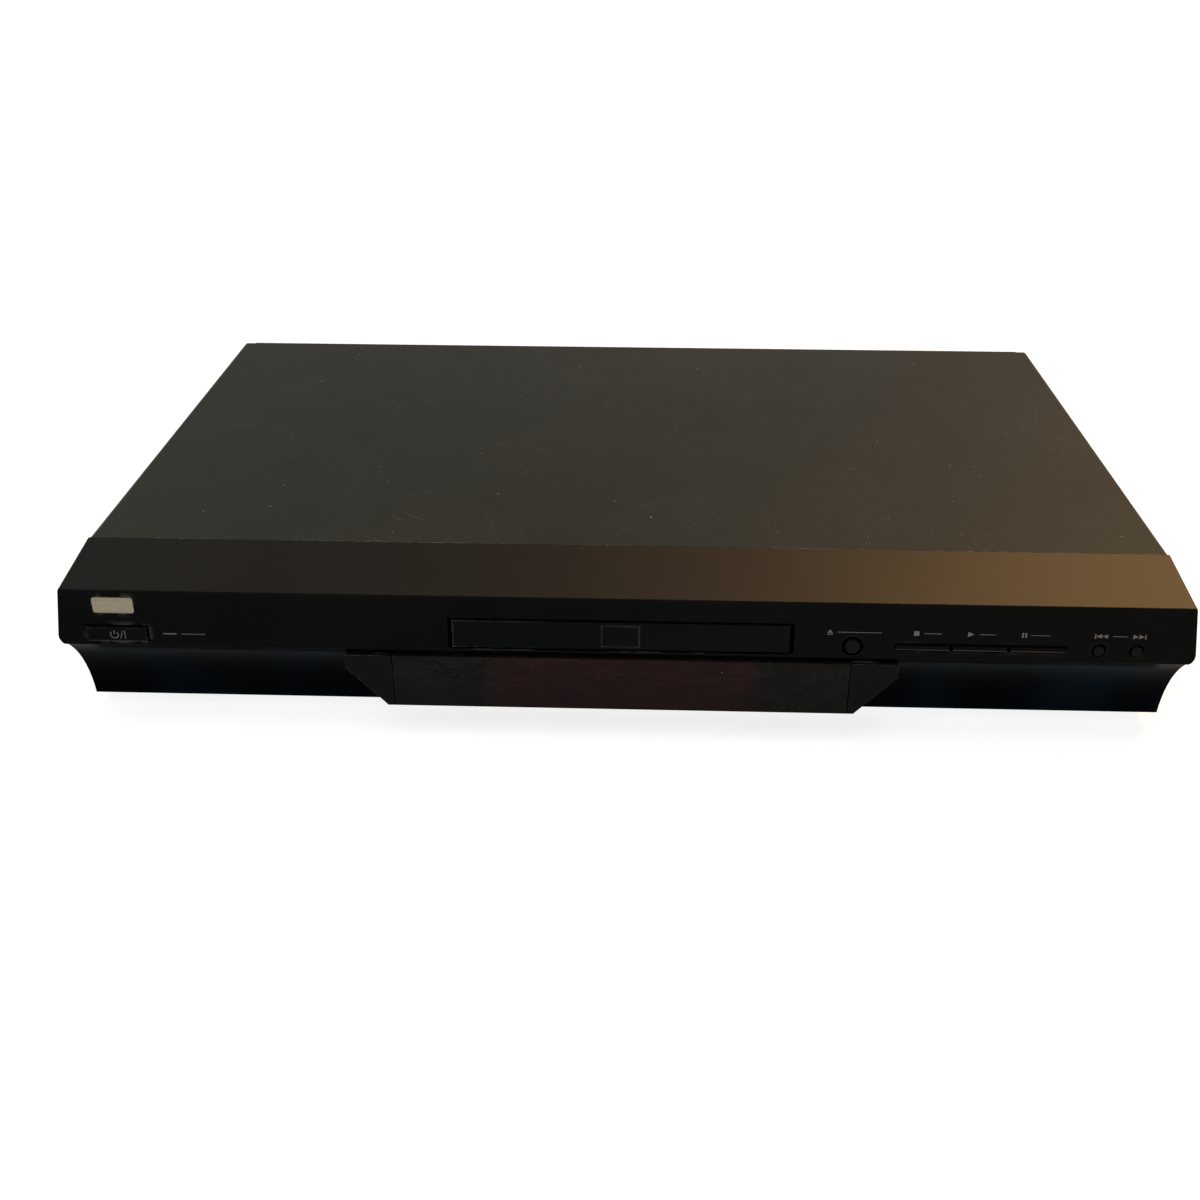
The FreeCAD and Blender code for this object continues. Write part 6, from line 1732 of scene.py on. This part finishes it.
@dataclass
class Lamp:
    """A square soft lamp that looks at a point of the player."""

    name: str
    place: Place
    aim: Place
    size: float
    power: float
    colour: Colour = (1.0, 1.0, 1.0)
    spread: float = 180.0

    def build(self) -> None:
        """Hang the lamp."""
        light = bpy.data.lights.new(self.name, "AREA")
        light.shape = "SQUARE"
        light.size = self.size
        light.energy = self.power
        light.color = self.colour
        light.spread = math.radians(self.spread)
        lamp = bpy.data.objects.new(self.name, light)
        lamp.location = self.place
        way = Vector(self.aim) - Vector(self.place)
        lamp.rotation_euler = way.to_track_quat("-Z", "Y").to_euler()
        bpy.context.scene.collection.objects.link(lamp)


@dataclass
class Studio:
    """Pale floor, soft lamps, plain surroundings and the camera."""

    floor_half: float = 30.0
    floor_level: float = -0.0002
    floor_colour: Colour = (0.82, 0.82, 0.82)
    seen_colour: Colour = (0.32, 0.32, 0.32)
    own_light: Span = (0.8, 0.93)
    far: Span = (0.7, 2.2)
    surround: float = 0.3
    band: Span = (0.14, 0.22)
    lamps: tuple[Lamp, ...] = (
        Lamp("overhead", (-0.5, -1.0, 1.9), (0.0, 0.0, 0.0), 1.6, 26.0),
        Lamp(
            "back_right", (0.92, 0.80, 1.5), (0.35, -0.10, 0.06), 0.9, 5.2, (1.0, 0.54, 0.19), 50.0
        ),
        Lamp("front_left", (-1.4, -1.6, 1.0), (0.0, 0.0, 0.05), 1.2, 3.0),
        Lamp("back_left", (-1.7, 1.5, 0.7), (0.0, 0.14, 0.03), 1.0, 4.0),
    )
    camera_place: Place = (0.00912, -0.62847, 0.32181)
    camera_turn: Place = (61.894, -0.041, 2.034)
    lens: float = 43.2
    sensor: float = 36.0
    near: float = 0.01

    def build(self) -> None:
        """Set up the floor, the lamps, the surroundings and the camera."""
        self._floor()
        for lamp in self.lamps:
            lamp.build()
        self._surround()
        self._camera()
        bpy.context.scene.view_settings.view_transform = "Standard"

    def _floor(self) -> None:
        """Lay a wide pale floor that keeps the player's shadow."""
        material = bpy.data.materials.new("pale_floor")
        bench = NodeBench(cleared(material))
        rays = bench.add("LightPath").outputs
        bounced = bench.calc("MAXIMUM", rays["Is Glossy Ray"], rays["Is Transmission Ray"])
        seen = bench.calc("MAXIMUM", rays["Is Camera Ray"], bounced)
        matt = bench.add("BsdfDiffuse")
        bench.feed(matt.inputs["Color"], bench.blend(seen, self.floor_colour, self.seen_colour))
        away = bench.add("VectorMath", operation="LENGTH")
        bench.feed(away.inputs[0], bench.place())
        glow = bench.add("Emission")
        level = bench.spread(away.outputs["Value"], self.far, self.own_light)
        bench.feed(glow.inputs["Strength"], bench.product(seen, level))
        both = bench.add("AddShader")
        bench.feed(both.inputs[0], matt.outputs[0])
        bench.feed(both.inputs[1], glow.outputs[0])
        bench.feed(bench.add("OutputMaterial").inputs["Surface"], both.outputs[0])
        form = bmesh.new()
        half = self.floor_half
        square = ((-half, -half), (half, -half), (half, half), (-half, half))
        form.faces.new([form.verts.new((x, y, self.floor_level)) for x, y in square])
        shown_mesh("floor", form, material)

    def _surround(self) -> None:
        """Give plain light from all round, with a white band above the floor's far edge."""
        world = bpy.data.worlds.new("surround")
        bench = NodeBench(cleared(world))
        height = bench.axes(bench.add("TexCoord").outputs["Generated"])[2]
        sky = bench.add("Background")
        bench.feed(sky.inputs["Color"], (1.0, 1.0, 1.0))
        bench.feed(sky.inputs["Strength"], bench.spread(height, self.band, (1.0, self.surround)))
        bench.feed(bench.add("OutputWorld").inputs["Surface"], sky.outputs[0])
        bpy.context.scene.world = world

    def _camera(self) -> None:
        """Stand the camera in front of the player and above it."""
        camera = bpy.data.objects.new("camera", bpy.data.cameras.new("camera"))
        camera.location = self.camera_place
        camera.rotation_euler = [math.radians(turn) for turn in self.camera_turn]
        camera.data.lens = self.lens
        camera.data.sensor_width = self.sensor
        camera.data.clip_start = self.near
        bpy.context.scene.collection.objects.link(camera)
        bpy.context.scene.camera = camera


def main() -> None:
    """Load the frame, dress it and set it in the studio."""
    logging.basicConfig(level=logging.INFO, format="%(name)s: %(message)s")
    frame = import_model()
    shelf = EffectShelf()
    Cabinet().dress(frame, shelf)
    KeySigns().build(PRINT_INK.build(shelf))
    JackInsulators().build(frame["record"]["mounts"], shelf)
    ScrewRecessShades().build(frame["nodes"], SCREW_RECESS_SHADE.build(shelf))
    Studio().build()


if __name__ == "__main__":
    main()
